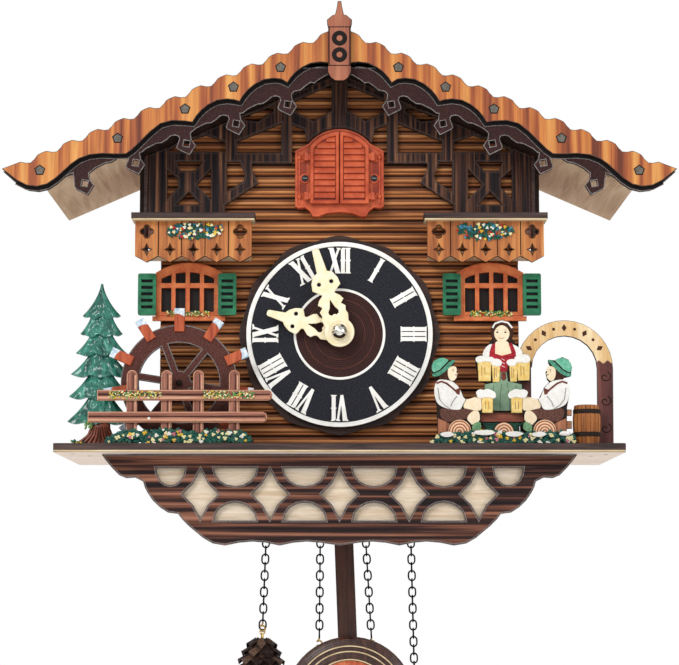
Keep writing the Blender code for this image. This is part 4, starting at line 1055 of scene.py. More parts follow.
def pine_cone(letter, n, top, base, lean):
    """The weight on one strand, its scales in rows that are turned half a step against each other."""
    cone = Build()
    core = [(max(0.4, cone_radius(z) * 0.78), base + z) for z in (-63.5, -60, -51, -40, -28, -18, -9, -3,
            -0.5)]
    cone.lathe(core, (top.x, top.y, 0), cone_dark, "Z", 20)
    cone.tube([(top.x, top.y, base - 2), (top.x, top.y, base + 2.5)], 0.8, BRASS, 8)
    loop = [(top.x + 1.3 * math.sin(a), top.y, base + 3.0 - 1.3 * math.cos(a))
            for a in (math.pi * t / 6 for t in range(12))]
    cone.tube(loop, 0.4, BRASS, 6, closed=True)
    rows = 15
    for row in range(rows):
        z = -1.5 - 60.5 * row / (rows - 1)
        w = 3.6 * max(0.35, cone_radius(z - 2) / 14)
        around = 11 if 1 < row < 12 else 8
        for k in range(around):
            a = 2 * math.pi * (k + 0.5 * (row % 2)) / around
            out = Vector((math.cos(a), math.sin(a), 0))
            along = Vector((-math.sin(a), math.cos(a), 0))
            root = Vector((top.x, top.y, base + z)) + out * cone_radius(z) * 0.62
            tip = Vector((top.x, top.y, base + z - 3.6)) + out * min(cone_radius(z - 1.5) + 0.2, 14.0)
            scale(cone, root, tip, out, along, w, cone_dark if (row + k) % 3 else cone_tip)
    cone.turn(0, -math.degrees(lean), top)
    cone.done(f"pine_cone_{letter}", f"cone_{letter}", f"strand_{n}", replaces=(f"cone_{letter}",),
              angle=20)


for n in (1, 2, 3, 4):
    top = pivot_of(f"strand_{n}_swing")
    low, high = low_high(f"chain_{n}")
    middle_x = (low.x + high.x) / 2
    lean = math.atan2(middle_x - top.x, top.z - (low.z + high.z) / 2)
    length = (top.z - low.z) / math.cos(lean)
    chain = Build()
    pitch = LINK_L - 2 * WIRE
    count = int((length + 5.5) / pitch)
    for k in range(count):
        z = top.z + 5.0 - pitch * (k + 0.5)
        half, bend = (LINK_L - LINK_W) / 2, LINK_W / 2 - WIRE / 2
        path = [(bend * math.cos(a), half + bend * math.sin(a))
                for a in (math.pi * t / 6 for t in range(7))]
        path += [(-x, -h) for x, h in path]
        if k % 2:
            ring = [(top.x + x, top.y, z + h) for x, h in path]
        else:
            ring = [(top.x, top.y + x, z + h) for x, h in path]
        chain.tube(ring, WIRE / 2, IRON, 6, closed=True)
    end = top.z - length
    hook = [(top.x + 1.5 * math.sin(a), top.y, end + 0.6 - 1.5 * math.cos(a))
            for a in (math.radians(30 * t) for t in range(-2, 9))]
    chain.tube([(top.x, top.y, end + 5.2), (top.x, top.y, end + 3.2)] + hook[::-1], 0.5, BRASS, 6)
    chain.turn(0, -math.degrees(lean), top)
    chain.done(f"chain_links_{n}", f"chain_{n}", f"strand_{n}", replaces=(f"chain_{n}",), angle=60)
    if n in HELD:
        pine_cone(HELD[n], n, top, end - 4.2, lean)


# ---------------------------------------------------------------- flowers
def flowers(made, x0, x1, z0, z1, y, count, seed, size, leaves, petals, share=0.3, shape=None):
    """Leaves and petals strewn over a stretch of the front, always the same way."""
    rng = random.Random(seed)
    placed = 0
    while placed < count:
        x, z = rng.uniform(x0, x1), rng.uniform(z0, z1)
        if shape and not in_loops((x, z), [shape]):
            continue
        placed += 1
        s = size * rng.uniform(0.7, 1.3)
        turn = rng.uniform(0, math.pi)
        if rng.random() > share:
            made.blob((x, y + rng.uniform(0.1, 0.5), z), (s * 1.35, s * 0.45, s * 0.7),
                      rng.choice(leaves), 4, 6, turn)
        else:
            mat = rng.choice(petals)
            for k in range(3):
                a = turn + 2.1 * k
                made.blob((x + s * 0.45 * math.cos(a), y - 0.35, z + s * 0.45 * math.sin(a)),
                          (s * 0.55, s * 0.35, s * 0.5), mat, 4, 6)
    return made


for side, letter in ((1, "l"), (-1, "r")):
    garland = Build()
    cloud = smooth_loop([(-90.5, -73.0), (-86, -71.0), (-78, -70.2), (-70, -70.6), (-61.5, -70.8),
                         (-59.5, -73.5), (-62, -76.8), (-68, -78.2), (-75, -78.6), (-82, -77.6),
                         (-88, -76.4)], 2)
    cloud = flipped(cloud, side)
    xs = [p[0] for p in cloud]
    flowers(garland, min(xs), max(xs), -78.6, -69.8, -101.4, 190, 7 + side, 0.85,
            [LEAF, LEAF_BLUE, LEAF, LEAF], [PETAL_W, PETAL_C, PETAL_C, PETAL_Y, PETAL_R], 0.2, cloud)
    garland.done(f"balcony_garland_{letter}", f"balcony_{letter}")
    sill = Build()
    x0, x1 = sorted((-90.0 * side, -68.0 * side))
    flowers(sill, x0, x1, -115.8, -113.2, -82.0, 190, 17 + side, 0.45, [LEAF_LIGHT, LEAF_LIGHT, LEAF],
            [PETAL_Y, PETAL_C, PETAL_C, PETAL_Y, PETAL_R], 0.36)
    sill.done(f"sill_garland_{letter}", f"window_{letter}")

# ---------------------------------------------------------------- mill scene
teal = Paint("moulded_tree", rough=0.2, coat=0.5)
# The teal runs from a darkest tone that is painted shade to light streaks that are painted highlights, both
# strewn by stretched noise over the moulding's own colour.
highlight_streaks = teal.noise(150, (1, 1, 2), 4, 1.6)
patch = teal.noise(90, (1, 1, 1.6), 4)
tone = teal.ramp(highlight_streaks, [(0.34, "11493F"), (0.5, "24705F"), (0.62, "3A8C78"), (0.8, "7CBFA4")])
tone = teal.shade(tone, patch, 0.35, 0.5, 0.35, 0.65)
TEAL = teal.done(tone, highlight_streaks, 0.5, 0.0005, (0.22, 0.36, patch))
tree_low, tree_high = low_high("tree")
tree_x = (tree_low.x + tree_high.x) / 2
TIERS = ((-100.2, -118.6, 10.4), (-115.6, -128.0, 11.5), (-125.0, -138.0, 13.8), (-134.6, -149.0, 16.4),
         (-145.0, -160.5, 17.2), (-156.6, -173.4, 17.9))
tree = Build()
ACROSS, DOWN = 44, 16
for n, (top, bottom, wide) in enumerate(TIERS):
    front, rear = [], []
    neck = 0.6 if n == 0 else 5.0
    for j in range(DOWN + 1):
        v = j / DOWN
        half = neck + (wide - neck) * (v ** (1.5 if n == 0 else 1.25))
        for i in range(ACROSS + 1):
            u = 2 * i / ACROSS - 1
            droop = abs(math.sin(u * math.pi * 1.5 + 0.5 * n)) ** 1.4
            z = top + (bottom - top) * v + (1.9 * abs(u) ** 5 + 1.5 * (1 - droop) * (1 - u * u)) * v ** 4
            x = tree_x + u * half * (1 - 0.05 * v ** 8 * abs(u))
            swell = math.sqrt(max(0.0, 1 - u * u))
            rough = noise.noise(Vector((x * 0.34, z * 0.3, 5.0 * n)))
            rough += 0.5 * noise.noise(Vector((x * 0.9 + z * 0.35, z * 0.5, 9.0 * n)))
            out = (0.4 + 0.6 * v) * swell * 3.0 + (0.9 + 0.5 * v) * rough * swell + 0.25 * n
            front.append((x, max(tree_low.y - 0.2, tree_high.y - 1.0 - out), z))
            rear.append((x, tree_high.y - 0.1, z))
    w = ACROSS + 1
    m = len(front)
    faces = []
    for j in range(DOWN):
        for i in range(ACROSS):
            a = j * w + i
            faces += [(a, a + 1, a + w + 1, a + w), (m + a, m + a + w, m + a + w + 1, m + a + 1)]
    border = list(range(w)) + [j * w + ACROSS for j in range(1, DOWN + 1)]
    border += [DOWN * w + i for i in range(ACROSS - 1, -1, -1)] + [j * w for j in range(DOWN - 1, 0, -1)]
    faces += [(a, m + a, m + b, b) for a, b in zip(border, border[1:] + border[:1])]
    tree.add(front + rear, faces, TEAL)
trunk = [(5.0, -171.5), (5.2, -175.0), (6.4, -178.0), (9.0, -180.6), (13.0, -182.4), (14.4, -183.9)]
outline = [(tree_x + x, z) for x, z in trunk] + [(tree_x - x, z) for x, z in reversed(trunk)]
bark = wood("tree_trunk", "4E261C", "8A4632", "B06A4C", "Z", 420, (0.35, 0.55))
tree.board(outline, tree_low.y + 1.2, 4.2, bark, chamfer=0.9)
for k in range(9):
    x = -11.5 + 23 * k / 8
    tree.tube([(tree_x + x * 0.33, tree_low.y + 1.3, -174.5), (tree_x + x * 0.5, tree_low.y + 1.0,
            -178.8), (tree_x + x, tree_low.y + 1.0, -183.4)], 0.5, bark, 6, radii=[0.5, 0.8, 0.9])
flowers(tree, tree_x - 15, tree_x - 8, -184, -181.8, tree_low.y - 0.8, 26, 5, 0.7,
        [LEAF, bark, LEAF_LIGHT], [PETAL_Y], 0.1)
flowers(tree, tree_x - 7, tree_x - 4, -175.5, -170.8, tree_low.y - 1.0, 14, 6, 0.8, [LEAF_LIGHT],
        [LEAF_LIGHT], 0.0)
tree.done("tree_moulding", "tree", replaces=("tree",), angle=60)

hub = pivot_of("mill_turn")
MILL = speckled("mill_stain", "3A1E1A", "6E4038", 1100, (0.5, 0.7), (0.34, 0.7))
BRICK = wood("paddle_red", "8E3A24", "B5512F", "CC6E44", "Z", 500)
TIP = speckled("paddle_tip", "A8C4D8", "F4F6F8", 420, (0.35, 0.5), (0.4, 0.6))


def sector(first, last, inner, outer, steps=8):
    near, far = math.degrees(1.9 / inner), math.degrees(1.9 / outer)
    return (arc(hub.x, hub.z, outer, first + far, last - far, steps)
            + arc(hub.x, hub.z, inner, last - near, first + near, 3))


WHEEL = -97.4                                  # front of the ring
wheel = Build()
gaps = [sector(111 + 60 * k, 171 + 60 * k, 6.2, 20.7) for k in range(6)]
ring = circle(hub.x, hub.z, 29.9, 72)
wheel.board(ring, WHEEL, 2.6, MILL, gaps, edge=CUT, side=CHAR, chamfer=0.28)
for loop in gaps:
    loop = loop if area(loop) < 0 else loop[::-1]
    wheel.line(loop, 0.1, 0.5, WHEEL, 0.08, CUT)
wheel.line(ring, 0.2, 0.6, WHEEL, 0.08, CUT)
wheel.lathe([(0.1, -99.4), (1.3, -99.3), (1.5, -98.9), (1.5, -68.0), (0.1, -68.0)],
            hub * Vector((1, 0, 1)), CHAR, sides=20)
for k in range(11):
    start = len(wheel.points)
    x, z = hub.x, hub.z
    wheel.board(rect(x - 2.6, z + 26.3, x + 2.6, z + 35.6), -98.7, 3.3, BRICK, edge=BRICK, chamfer=0.3)
    slant = [(x - 2.6, z + 35.4), (x - 0.2, z + 35.2), (x + 2.6, z + 33.9), (x + 2.6, z + 38.3),
             (x - 2.6, z + 38.3)]
    wheel.board(slant, -98.85, 3.4, TIP, chamfer=0.3)
    wheel.turn(start, 360 / 11 * k, hub)
wheel.done("mill_wheel", "wheel", "mill", replaces=("wheel",))

FENCE = wood("fence_wood", "5E342C", "98604E", "BE8470", "X", 420)
FENCE_Z = wood("fence_wood_upright", "5E342C", "98604E", "BE8470", "Z", 420)
GROOVE = speckled("fence_groove", "2E1812", "4E2C22", 900)
PALE = wood("fence_pale", "B4745A", "D69E80", "E8BC9C", "X", 500)
RAIL, POST = -107.2, -105.4                    # fronts of the rails and the posts
fence = Build()
for (x0, x1, z0, z1) in ((-123.0, -34.0, -162.0, -156.6), (-127.6, -36.6, -173.2, -167.7)):
    bar = [(x0, z0), (x1 - 2.2, z0), (x1 - 0.6, z0 + 0.8), (x1, (z0 + z1) / 2), (x1 - 0.6, z1 - 0.8),
           (x1 - 2.2, z1), (x0, z1)]
    fence.board(bar, RAIL, 1.7, FENCE, edge=PALE, side=GROOVE, chamfer=0.45)
    middle = (z0 + z1) / 2
    fence.stroke([(x0 + 0.4, middle + 0.4), (x1 - 1.2, middle + 0.4)], 0.7, RAIL, 0.1, GROOVE)
    fence.stroke([(x0 + 0.4, z0 + 1.4), (x1 - 1.2, z0 + 1.4)], 1.4, RAIL, 0.28, PALE)
    fence.stroke([(x0 + 0.4, z1 - 1.1), (x1 - 1.2, z1 - 1.1)], 1.0, RAIL, 0.22, FENCE)
for x in (-105.5, -87.9, -71.7, -53.5):
    top = arc(x, -149.0, 2.7, 0, 180, 10)
    fence.board([(x - 2.7, -184.0), (x + 2.7, -184.0)] + top, POST, 1.8, FENCE_Z, edge=PALE, side=GROOVE,
                chamfer=0.4)
    fence.stroke([(x - 0.9, -183.5), (x - 0.9, -148.0)], 1.5, POST, 0.25, FENCE_Z)
    fence.stroke([(x + 0.6, -183.5), (x + 0.6, -148.0)], 0.5, POST, 0.06, GROOVE)
    fence.stroke([(x + 1.7, -183.5), (x + 1.7, -149.0)], 0.8, POST, 0.2, PALE)
fence.lathe([(0.1, -107.65), (0.6, -107.6), (0.8, -107.3), (0.8, -106.8)], (-96.6, 0, -171.2),
            WHITE_PAINT, sides=12)
fence.done("fence_rails", "fence", replaces=("fence",))
vines = Build()
for x0, x1, seed in ((-117.0, -90.5, 31), (-69.0, -43.0, 32)):
    flowers(vines, x0, x1, -161.0, -157.3, -107.7, 260, seed, 0.44, [LEAF_LIGHT, LEAF, LEAF_LIGHT],
            [PETAL_Y, PETAL_C, PETAL_C, PETAL_C, PETAL_Y, PETAL_R], 0.36)
vines.done("fence_garlands", "fence")


def bed(name, node, seed, patches=()):
    """A low flower bed: a dark core, leaves heaped over its face and top, and flowers."""
    loop = outlines(node)[0]
    low, high = low_high(node)
    made = Build()
    made.board(inset(loop, 0.8), low.y + 0.4, high.y - low.y - 0.5, SOIL, chamfer=0.3)
    flowers(made, low.x, high.x, low.z, high.z, low.y, 520, seed, 1.05,
            [LEAF_BED, LEAF_BED, LEAF, LEAF_BED, LEAF], [PETAL_W, PETAL_C, PETAL_C, PETAL_P, PETAL_C,
                                                         PETAL_Y], 0.12, inset(loop, 0.5))
    rng = random.Random(seed)
    for x, z, w in patches:
        edge = [(x + w * math.cos(a) * rng.uniform(0.9, 1.15),
                 z + 1.5 * math.sin(a) * rng.uniform(0.7, 1.2))
                for a in (2 * math.pi * k / 10 for k in range(10))]
        made.board(smooth_loop(edge, 2), low.y - 1.5, 1.4, WHITE_PAINT, chamfer=0.5)
    made.done(name, node, replaces=(node,), angle=60)


bed("mill_flowers", "bed_l", 41)
bed("garden_flowers", "bed_r", 42, ((54.3, -179.2, 3.6), (73.4, -178.2, 5.0), (88.4, -178.9, 4.6),
                                    (100.8, -179.2, 3.6), (114.0, -178.8, 3.0)))

# ---------------------------------------------------------------- beer garden
gate = outlines("arch")[0]
arch_paint = Paint("arch_wood")
figure = arch_paint.noise(170, LONG["Z"], 6, 0.6)
fine = arch_paint.noise(1100, LONG["Z"], 3)
pale = arch_paint.ramp(figure, [(0.3, "C89858"), (0.5, "E5C08A"), (0.7, "F2DCB4")])
red = arch_paint.ramp(figure, [(0.3, "3E1E1C"), (0.5, "5E302C"), (0.72, "7E4A40")])
ripple = arch_paint.math("MULTIPLY_ADD", arch_paint.math("SINE",
                                                         arch_paint.math("MULTIPLY", arch_paint.axis("X"),
        1400)), 0.0007, arch_paint.axis("Z"))
low_part = arch_paint.node("MapRange", {"Value": ripple, "From Min": -0.1404,
                                        "From Max": -0.1412}).outputs[0]
tone = arch_paint.mix(low_part, pale, red)
tone = arch_paint.shade(tone, fine, 0.3, 0.5)
tone = arch_paint.mix(arch_paint.front_face(), "2A1613", tone)
ARCH = arch_paint.done(tone, fine, 0.3, 0.0002, (0.42, 0.6, figure))
ARCH_FRONT = -92.0
arch = Build()
arch.board(gate, ARCH_FRONT, 3.0, ARCH, edge=CUT, side=CHAR, chamfer=0.25)
mid_x, mid_z = 116.0, -144.2
ORNAMENT = speckled("burnt_ornament", "3A2014", "5E3824", 1200)
for k in range(9):                             # plain lozenges and dots along the bow
    a = math.radians(150 - 15 * k)
    if not 20 < math.degrees(a) < 160:
        continue
    x, z = mid_x - 0.2 + 21.0 * math.cos(a), mid_z + 21.0 * math.sin(a)
    out, along = Vector((math.cos(a), math.sin(a))), Vector((-math.sin(a), math.cos(a)))
    tips = [out * 1.9, along * 1.3, -out * 1.9, -along * 1.3]
    if k % 2 == 0:
        arch.board([(x + t.x, z + t.y) for t in tips], -92.15, 0.4, ORNAMENT, chamfer=0.05)
    else:
        arch.lathe([(0.05, -92.2), (0.75, -92.15), (0.8, -91.9)], (x, 0, z), ORNAMENT, sides=14)
for z in (-148.6, -161.1, -175.2):             # carved curls on the dark post
    curl = [(136.6 + (0.5 + 0.24 * t) * math.cos(0.62 * t), z + (0.5 + 0.2 * t) * math.sin(0.62 * t))
            for t in range(0, 13)]
    arch.stroke(curl, 0.5, ARCH_FRONT, 0.15, CHAR)
arch.done("garden_arch", "arch", replaces=("arch",))

give(BARREL, "barrel")
STAVE = wood("stave_seam", "5A2E18", "7A4424", "94582E", "Z", 500)
low, high = low_high("barrel")
cask = Build()
cx, cy = (low.x + high.x) / 2, (low.y + high.y) / 2
for z, r in ((-167.2, 6.75), (-178.8, 6.85)):
    cask.lathe([(r - 0.6, z - 1.1), (r + 0.25, z - 1.1), (r + 0.35, z), (r + 0.25, z + 1.1),
                (r - 0.6, z + 1.1), (r - 0.6, z - 1.1)], (cx, cy, 0), HOOP, "Z", 40)
for k in range(18):
    a = 2 * math.pi * k / 18
    line = [(cx + r * math.cos(a), cy + r * math.sin(a), z) for r, z in ((6.15, -183.8), (6.65, -180.5),
            (7.04, -176), (7.14, -173), (7.04, -170), (6.65, -166.5), (6.25, -164.2))]
    cask.tube(line, 0.16, STAVE, 5)
cask.lathe([(0.1, -163.8), (5.4, -163.8), (5.5, -164.1)], (cx, cy, 0), CHAR, "Z", 32)
cask.done("barrel_hoops", "barrel")


def log_end(name, x, z):
    """End grain with rings about one point."""
    paint = Paint(name)
    wobble = paint.noise(300, (1, 1, 1), 3)
    r = paint.math("ADD", paint.radius(x, z), paint.math("MULTIPLY", wobble, 0.0006))
    rings = paint.math("SINE", paint.math("MULTIPLY", r, 4300))
    tone = paint.ramp(paint.math("MULTIPLY_ADD", rings, 0.5, 0.5),
                      [(0.15, "8E4E34"), (0.4, "D89A74"), (0.8, "F0C8A4")])
    return paint.done(tone, rings, 0.15, 0.0001, (0.5, 0.65, wobble))


table_front = low_high("table")[0].y
bench = Build()
bench.board(rect(71.8, -172.5, 95.2, -167.3), table_front, 3.0, RED_WOOD, edge=CHAR, side=CHAR,
            chamfer=0.3)
bench.stroke([(72.0, -167.9), (95.0, -167.9)], 0.6, table_front, 0.12, RED_WOOD)
bench.board([(74.2, -184.0), (91.3, -184.0), (91.3, -175.0), (94.8, -172.6), (72.4, -172.6),
             (74.2, -175.0)], table_front + 0.4, 2.4, DARK_GREEN, side=CHAR, chamfer=0.2)
bench.board(arc(83.8, -177.6, 5.2, 0, 180, 14), table_front - 0.8, 1.4, log_end("half_log", 83.8, -177.6),
            edge=CHAR, chamfer=0.2)
for top, low_z in ((-166.1, -169.3), (-172.0, -175.9)):    # ends of the bench planks beside the barrel
    bench.board(rect(112.6, low_z, 118.3, top), table_front - 2.6, 2.2, BENCH, edge=CHAR, side=CHAR,
                chamfer=0.2)
bench.done("garden_table", "table", replaces=("table",))


def layers(made, base, parts, side=1, about=0.0):
    for outline, lift, mat, rounds in parts:
        loop = smooth_loop(outline, rounds) if rounds else outline
        made.board(flipped(loop, side, about), base - lift, lift + 0.5, mat, chamfer=0.14)


HAT_DARK = speckled("hat_brim", "3C7E66", "6AAE90", 700, bump=0.15)
hat = [(47.0, -146.0), (47.1, -143.2), (48.6, -140.9), (51.8, -139.6), (54.4, -140.1), (56.1, -141.3),
       (51.6, -145.8), (48.4, -147.6)]
band = [(48.2, -147.4), (51.3, -145.6), (55.8, -141.0), (56.4, -141.5), (51.9, -146.5), (48.8, -148.3)]
brim = [(47.1, -147.9), (48.5, -147.8), (51.7, -146.3), (56.2, -141.5), (58.7, -140.7), (59.1, -141.6),
        (56.6, -144.2), (53.3, -147.5), (50.1, -149.4), (47.6, -149.4)]
hair = [(50.5, -149.0), (53.3, -147.3), (56.0, -144.4), (55.6, -148.0), (56.1, -150.4), (53.3, -151.3),
        (51.4, -151.0)]
head = [(55.6, -144.4), (59.0, -143.9), (60.0, -145.7), (59.5, -147.3), (60.4, -148.0), (59.7, -148.9),
        (59.8, -149.9), (58.2, -151.7), (56.4, -151.4), (55.3, -149.3), (55.1, -146.6)]
shirt = [(50.7, -150.7), (54.0, -151.0), (57.5, -151.7), (60.7, -154.4), (62.5, -158.3), (63.1, -160.2),
         (64.6, -161.0), (63.0, -163.6), (61.7, -166.4), (58.1, -166.4), (53.3, -165.4), (49.9, -163.4),
         (48.4, -159.7), (48.2, -155.5), (48.9, -152.7)]
arm = [(64.0, -161.0), (65.9, -160.9), (69.8, -159.5), (72.2, -160.1), (72.9, -162.3), (72.5, -166.5),
       (69.5, -167.0), (65.9, -166.1), (62.6, -165.4)]
mug = [(72.2, -160.0), (78.3, -160.0), (78.1, -168.0), (72.5, -168.0)]
foam = [(69.8, -158.7), (69.4, -157.1), (71.5, -155.8), (73.4, -156.3), (75.4, -155.6), (77.3, -156.3),
        (79.2, -157.3), (79.8, -159.0), (79.3, -160.6), (77.3, -160.5), (76.0, -159.9), (74.1, -160.1),
        (72.1, -160.7), (70.5, -160.1)]
shorts = [(51.0, -165.6), (56.5, -165.8), (63.0, -165.6), (69.5, -166.9), (71.1, -167.5), (69.5, -168.6),
          (65.9, -168.7), (64.9, -171.0), (63.0, -171.0), (55.2, -172.9), (52.4, -171.5), (51.0, -168.8)]
knee = [(65.7, -168.8), (67.9, -166.8), (70.1, -166.4), (71.4, -168.3), (71.5, -172.3), (67.4, -174.2),
        (66.8, -173.4), (64.7, -171.1)]
sock = [(67.4, -173.6), (71.5, -172.0), (72.4, -175.6), (70.7, -177.4), (67.6, -178.0)]
block = [(50.0, -170.6), (53.2, -172.0), (56.0, -173.4), (55.6, -183.8), (50.0, -183.8)]
BROWN_BLOCK = wood("bench_block", "7A4630", "A8694A", "C28A66", "Z", 400)
for side, letter in ((1, "l"), (-1, "r")):
    node = f"man_{letter}"
    about = 0.0 if side == 1 else 82.75
    base = low_high(node)[0].y
    man = Build()
    man.board(outlines(node)[0], base, 3.0, LINE, side=CHAR, chamfer=0.2)
    log_x = 61.1 if side == 1 else 104.4
    layers(man, base, ((shorts, 0.25, SHORTS, 1), (knee, 0.35, SKIN, 1), (sock, 0.45, SOCK, 1),
                       (block, 0.3, BROWN_BLOCK, 0), (hair, 0.3, HAIR, 1), (head, 0.4, SKIN, 1),
                       (hat, 0.5, HAT, 2), (brim, 0.75, HAT_DARK, 1), (band, 0.65, LINE, 0),
                       (shirt, 0.4, WHITE_PAINT, 2), (arm, 0.55, SKIN, 1), (mug, 0.7, BEER, 0),
                       (foam, 0.95, WHITE_PAINT, 2)), side, about)
    ends = log_end(f"stool_{letter}", log_x, -177.4)
    man.board(flipped([(61.1 - 6.0, -183.8), (61.1 + 6.0, -183.8)] + arc(61.1, -177.2, 6.0, -10, 190, 22),
                      side, about), base - 0.9, 1.4, ends, edge=CHAR, chamfer=0.25)
    strap = [(49.4, -152.8), (52.0, -151.9), (54.6, -152.9), (57.5, -155.2), (60.4, -157.9)]
    man.stroke(placed(strap, side, about), 1.1, base, 0.6, STRAP)
    man.board(flipped([(59.2, -156.1), (61.6, -155.0), (61.1, -158.7), (59.5, -158.2)], side, about),
              base - 0.65, 0.7, STRAP, chamfer=0.1)
    for path, width in (([(50.1, -155.1), (51.0, -161.0), (53.3, -163.9), (56.4, -165.9)], 0.16),
                        ([(59.8, -159.4), (57.5, -162.3), (56.5, -164.8)], 0.16),
                        ([(64.4, -161.2), (63.0, -163.6), (62.5, -165.8)], 0.2),
                        ([(68.9, -160.4), (69.7, -159.9), (70.5, -160.5)], 0.16)):
        man.stroke(placed(path, side, about), width, base - 0.4, 0.35, LINE)
    for x in (74.4, 76.0):
        man.stroke(placed([(x, -162.2), (x, -166.0)], side, about), 0.26, base - 0.7, 0.06, STRAP)
    man.stroke(placed([(72.3, -160.8), (72.6, -167.8), (78.0, -167.8), (78.2, -160.8)], side, about),
               0.16, base - 0.7, 0.06, LINE)
    eye = placed([(58.0, -146.5)], side, about)[0]
    man.blob((eye[0], base - 0.42, eye[1]), (0.32, 0.12, 0.26), LINE, 5, 8)
    man.stroke(placed([(58.9, -148.5), (59.7, -148.4), (60.2, -148.9)], side, about), 0.45, base - 0.4,
               0.14, HAIR)
    man.stroke(placed([(57.3, -145.7), (58.5, -145.6)], side, about), 0.18, base - 0.4, 0.06, HAIR)
    man.done(f"drinker_{letter}", node, replaces=(node,))

maid = Build()
base = low_high("waitress")[0].y
maid.board(outlines("waitress")[0], base, 3.0, LINE, side=CHAR, chamfer=0.2)
wavy = [(78.0, -127.5), (77.7, -123.6), (79.0, -121.3), (83.3, -119.5), (87.3, -120.8), (89.3, -123.9),
        (89.1, -129.2), (87.3, -131.2), (85.5, -130.2), (81.2, -130.2), (79.4, -131.6), (78.3, -129.5)]
layers(maid, base, ((wavy, 0.25, HAIR, 1), ([(80.4, -130.0), (86.4, -130.0), (87.7, -134.1),
                                             (88.6, -137.4), (83.2, -138.4), (79.4, -137.4),
                                             (79.4, -134.1)], 0.3, SKIN, 1),
                    ([(83.4, -122.0), (85.9, -123.2), (87.4, -125.6), (87.3, -127.9), (85.9, -130.2),
                      (83.4, -131.4), (80.9, -130.2), (79.5, -127.9), (79.4, -125.6), (80.9, -123.2)],
                     0.5, SKIN, 2), ([(74.5, -134.1), (78.0, -131.4), (79.6, -133.5), (78.6, -137.4),
                                      (76.6, -138.8), (73.0, -138.4)], 0.3, WHITE_PAINT, 1),
                    ([(87.6, -131.4), (92.7, -133.9), (94.5, -137.4), (90.7, -138.4), (89.6, -136.8),
                      (87.6, -133.5)], 0.3, WHITE_PAINT, 1), ([(82.5, -146.3), (85.7, -146.3),
        (86.3, -151.2), (93.4, -152.8), (94.3, -160.4), (95.2, -166.4), (72.4, -166.4), (73.7, -159.8),
        (74.6, -152.8), (82.4, -151.2)], 0.3, SKIRT, 0), ([(78.3, -132.2), (80.0, -131.4), (79.8, -136.9),
                                                           (83.2, -138.0), (88.4, -136.7), (86.8, -131.7),
                                                           (88.6, -131.4), (90.5, -136.1), (90.5, -138.8),
                                                           (86.6, -141.6), (85.9, -146.0), (83.1, -146.4),
                                                           (81.9, -145.3), (82.3, -141.6), (76.8, -138.8),
                                                           (77.0, -136.1)], 0.5, RED_PAINT, 0),
                    ([(83.0, -146.5), (85.3, -146.5), (85.6, -149.8), (84.2, -151.2), (82.8, -149.8)],
                     0.45, STRAP, 0)))
for k, (x0, x1, z1, z0) in enumerate(((70.8, 77.9, -140.6, -151.2), (78.1, 82.4, -142.4, -151.6),
                                      (87.1, 91.3, -142.4, -151.4), (91.0, 97.7, -140.6, -150.8))):
    lift = 0.9 if k in (0, 3) else 0.7
    maid.board([(x0, z1), (x0 + 0.5, z0), (x1 - 0.4, z0), (x1, z1)], base - lift, lift + 0.5, BEER,
               chamfer=0.16)
    for t, long in ((0.3, 5.6), (0.52, 4.2)):
        x, middle = x0 + (x1 - x0) * t, (z0 + z1) / 2
        maid.stroke([(x, middle + long / 2), (x, middle - long / 2)], 0.26, base - lift, 0.06, STRAP)
for cloud, lift in (([(69.7, -140.7), (69.9, -138.8), (72.7, -137.9), (75.3, -138.8), (77.9, -138.5),
                      (79.8, -139.7), (78.7, -141.7), (74.6, -140.9), (72.0, -141.7), (70.5, -141.6)],
                     1.15), ([(77.7, -140.2), (80.5, -139.3), (83.4, -140.6), (83.2, -143.1),
                              (81.2, -143.9), (79.2, -143.0), (77.8, -143.0)], 0.95),
                    ([(85.4, -142.0), (86.0, -140.2), (89.1, -139.5), (91.1, -140.6), (90.8, -143.0),
                      (87.7, -143.8)], 0.95), ([(89.5, -140.4), (89.9, -138.3), (93.7, -137.2),
                                                (96.4, -137.4), (98.0, -138.9), (97.8, -141.2),
                                                (95.6, -142.1), (92.3, -141.4), (90.4, -142.2)], 1.15)):
    maid.board(smooth_loop(cloud, 2), base - lift, lift + 0.5, WHITE_PAINT, chamfer=0.25)
maid.stroke([(78.6, -123.7), (79.9, -121.4), (83.3, -120.2), (86.6, -121.0), (88.8, -123.7)], 1.0,
            base - 0.25, 0.4, WHITE_PAINT)
for x in (81.1, 85.2):
    maid.blob((x, base - 0.52, -125.9), (0.6, 0.14, 0.42), LINE, 5, 10)
    maid.stroke([(x - 0.8, -124.8), (x, -124.5), (x + 0.8, -124.8)], 0.16, base - 0.5, 0.06, HAIR)
maid.stroke([(81.7, -128.6), (82.6, -129.1), (83.8, -129.15), (84.7, -128.6)], 0.28, base - 0.5, 0.06,
            RED_PAINT)
for x, z in ((84.0, -139.6), (84.0, -141.4), (84.0, -143.2)):
    maid.stroke([(x - 0.8, z), (x + 0.8, z - 0.8)], 0.25, base - 0.5, 0.08, WHITE_PAINT)
for path in ([(83.1, -152.5), (82.2, -160.4), (82.3, -166.2)],
             [(85.9, -151.9), (86.9, -159.8), (87.2, -166.2)],
             [(79.1, -153.2), (78.4, -160.7), (78.5, -166.2)],
             [(90.4, -153.4), (91.0, -160.0), (91.4, -166.2)]):
    maid.stroke(path, 0.25, base - 0.3, 0.08, LEAF)
maid.done("waitress_figure", "waitress", replaces=("waitress",))

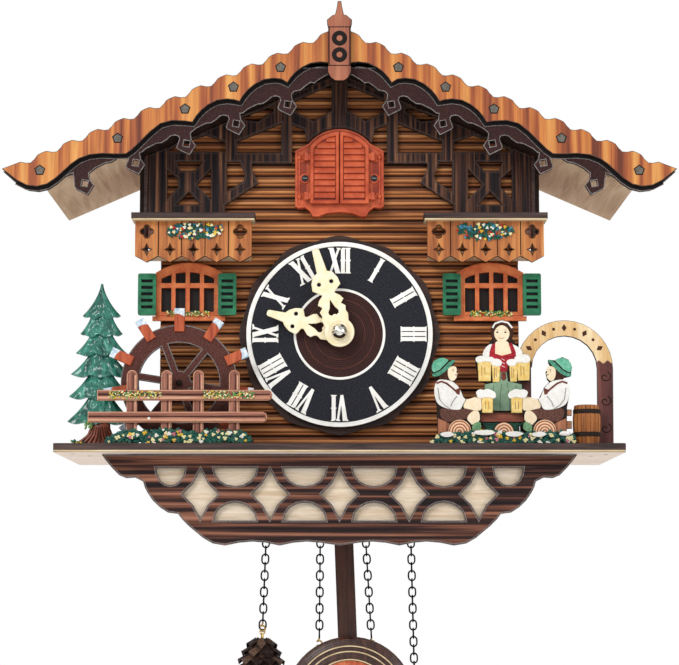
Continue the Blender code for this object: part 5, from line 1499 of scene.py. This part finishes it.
# ---------------------------------------------------------------- floor, light and camera
floor_mat = Paint("studio_floor", rough=0.8)
speck = floor_mat.noise(40, (1, 1, 1), 4)
floor_mesh = bpy.data.meshes.new("studio_floor")
reach_out = 2.2
level = cad_box[0].z - 0.03
floor_mesh.from_pydata([(-reach_out, -reach_out, level), (reach_out, -reach_out, level),
                        (reach_out, reach_out, level), (-reach_out, reach_out, level)], [],
                       [(0, 1, 2, 3)])
floor_mesh.materials.append(floor_mat.done(floor_mat.ramp(speck, [(0.3, "EDEDED"), (0.7, "F4F4F4")]),
                                           speck, 0.02, 0.0001))
floor = bpy.data.objects.new("studio_floor", floor_mesh)
bpy.context.scene.collection.objects.link(floor)
floor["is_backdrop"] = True

world = bpy.data.worlds.new("studio")
world.use_nodes = True
sky = world.node_tree
seen = sky.nodes.new("ShaderNodeLightPath")
level = sky.nodes.new("ShaderNodeMapRange")    # the sky is white to look at, and a little softer as light
level.inputs["To Min"].default_value, level.inputs["To Max"].default_value = 0.72, 1.0
sky.links.new(seen.outputs["Is Camera Ray"], level.inputs["Value"])
sky.links.new(level.outputs["Result"], sky.nodes["Background"].inputs["Strength"])
sky.nodes["Background"].inputs["Color"].default_value = (1, 1, 1, 1)
bpy.context.scene.world = world
bpy.context.scene.view_settings.view_transform = "Standard"


def lamp(name, place, at, size, watts):
    light = bpy.data.lights.new(name, "AREA")
    light.shape = "DISK"
    light.size, light.energy = size, watts
    obj = bpy.data.objects.new(name, light)
    obj.location = place
    obj.rotation_euler = (Vector(at) - Vector(place)).to_track_quat("-Z", "Y").to_euler()
    bpy.context.scene.collection.objects.link(obj)


lamp("key", (-0.75, -1.5, 0.75), (0, 0, -0.2), 0.7, 14)
lamp("fill", (1.1, -1.4, 0.1), (0, 0, -0.2), 0.9, 5)

CAMERA_TILT = math.atan(257.5 / 2286)          # looking slightly up
camera = bpy.data.cameras.new("camera")
camera.sensor_fit, camera.sensor_width = "HORIZONTAL", 36.0
camera.lens = camera.sensor_width * 2286 / 679
camera.clip_start = 0.05
eye = bpy.data.objects.new("camera", camera)
eye.location = (0, -1.263, -0.2575)
eye.rotation_euler = (math.pi / 2 + CAMERA_TILT, 0, 0)
bpy.context.scene.collection.objects.link(eye)
bpy.context.scene.camera = eye

plain = lambda box: [float(n) for corner in box for n in (corner if hasattr(corner, "__len__") else [corner])]
{"cad": plain(cad_box), "visual": plain(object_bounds())}
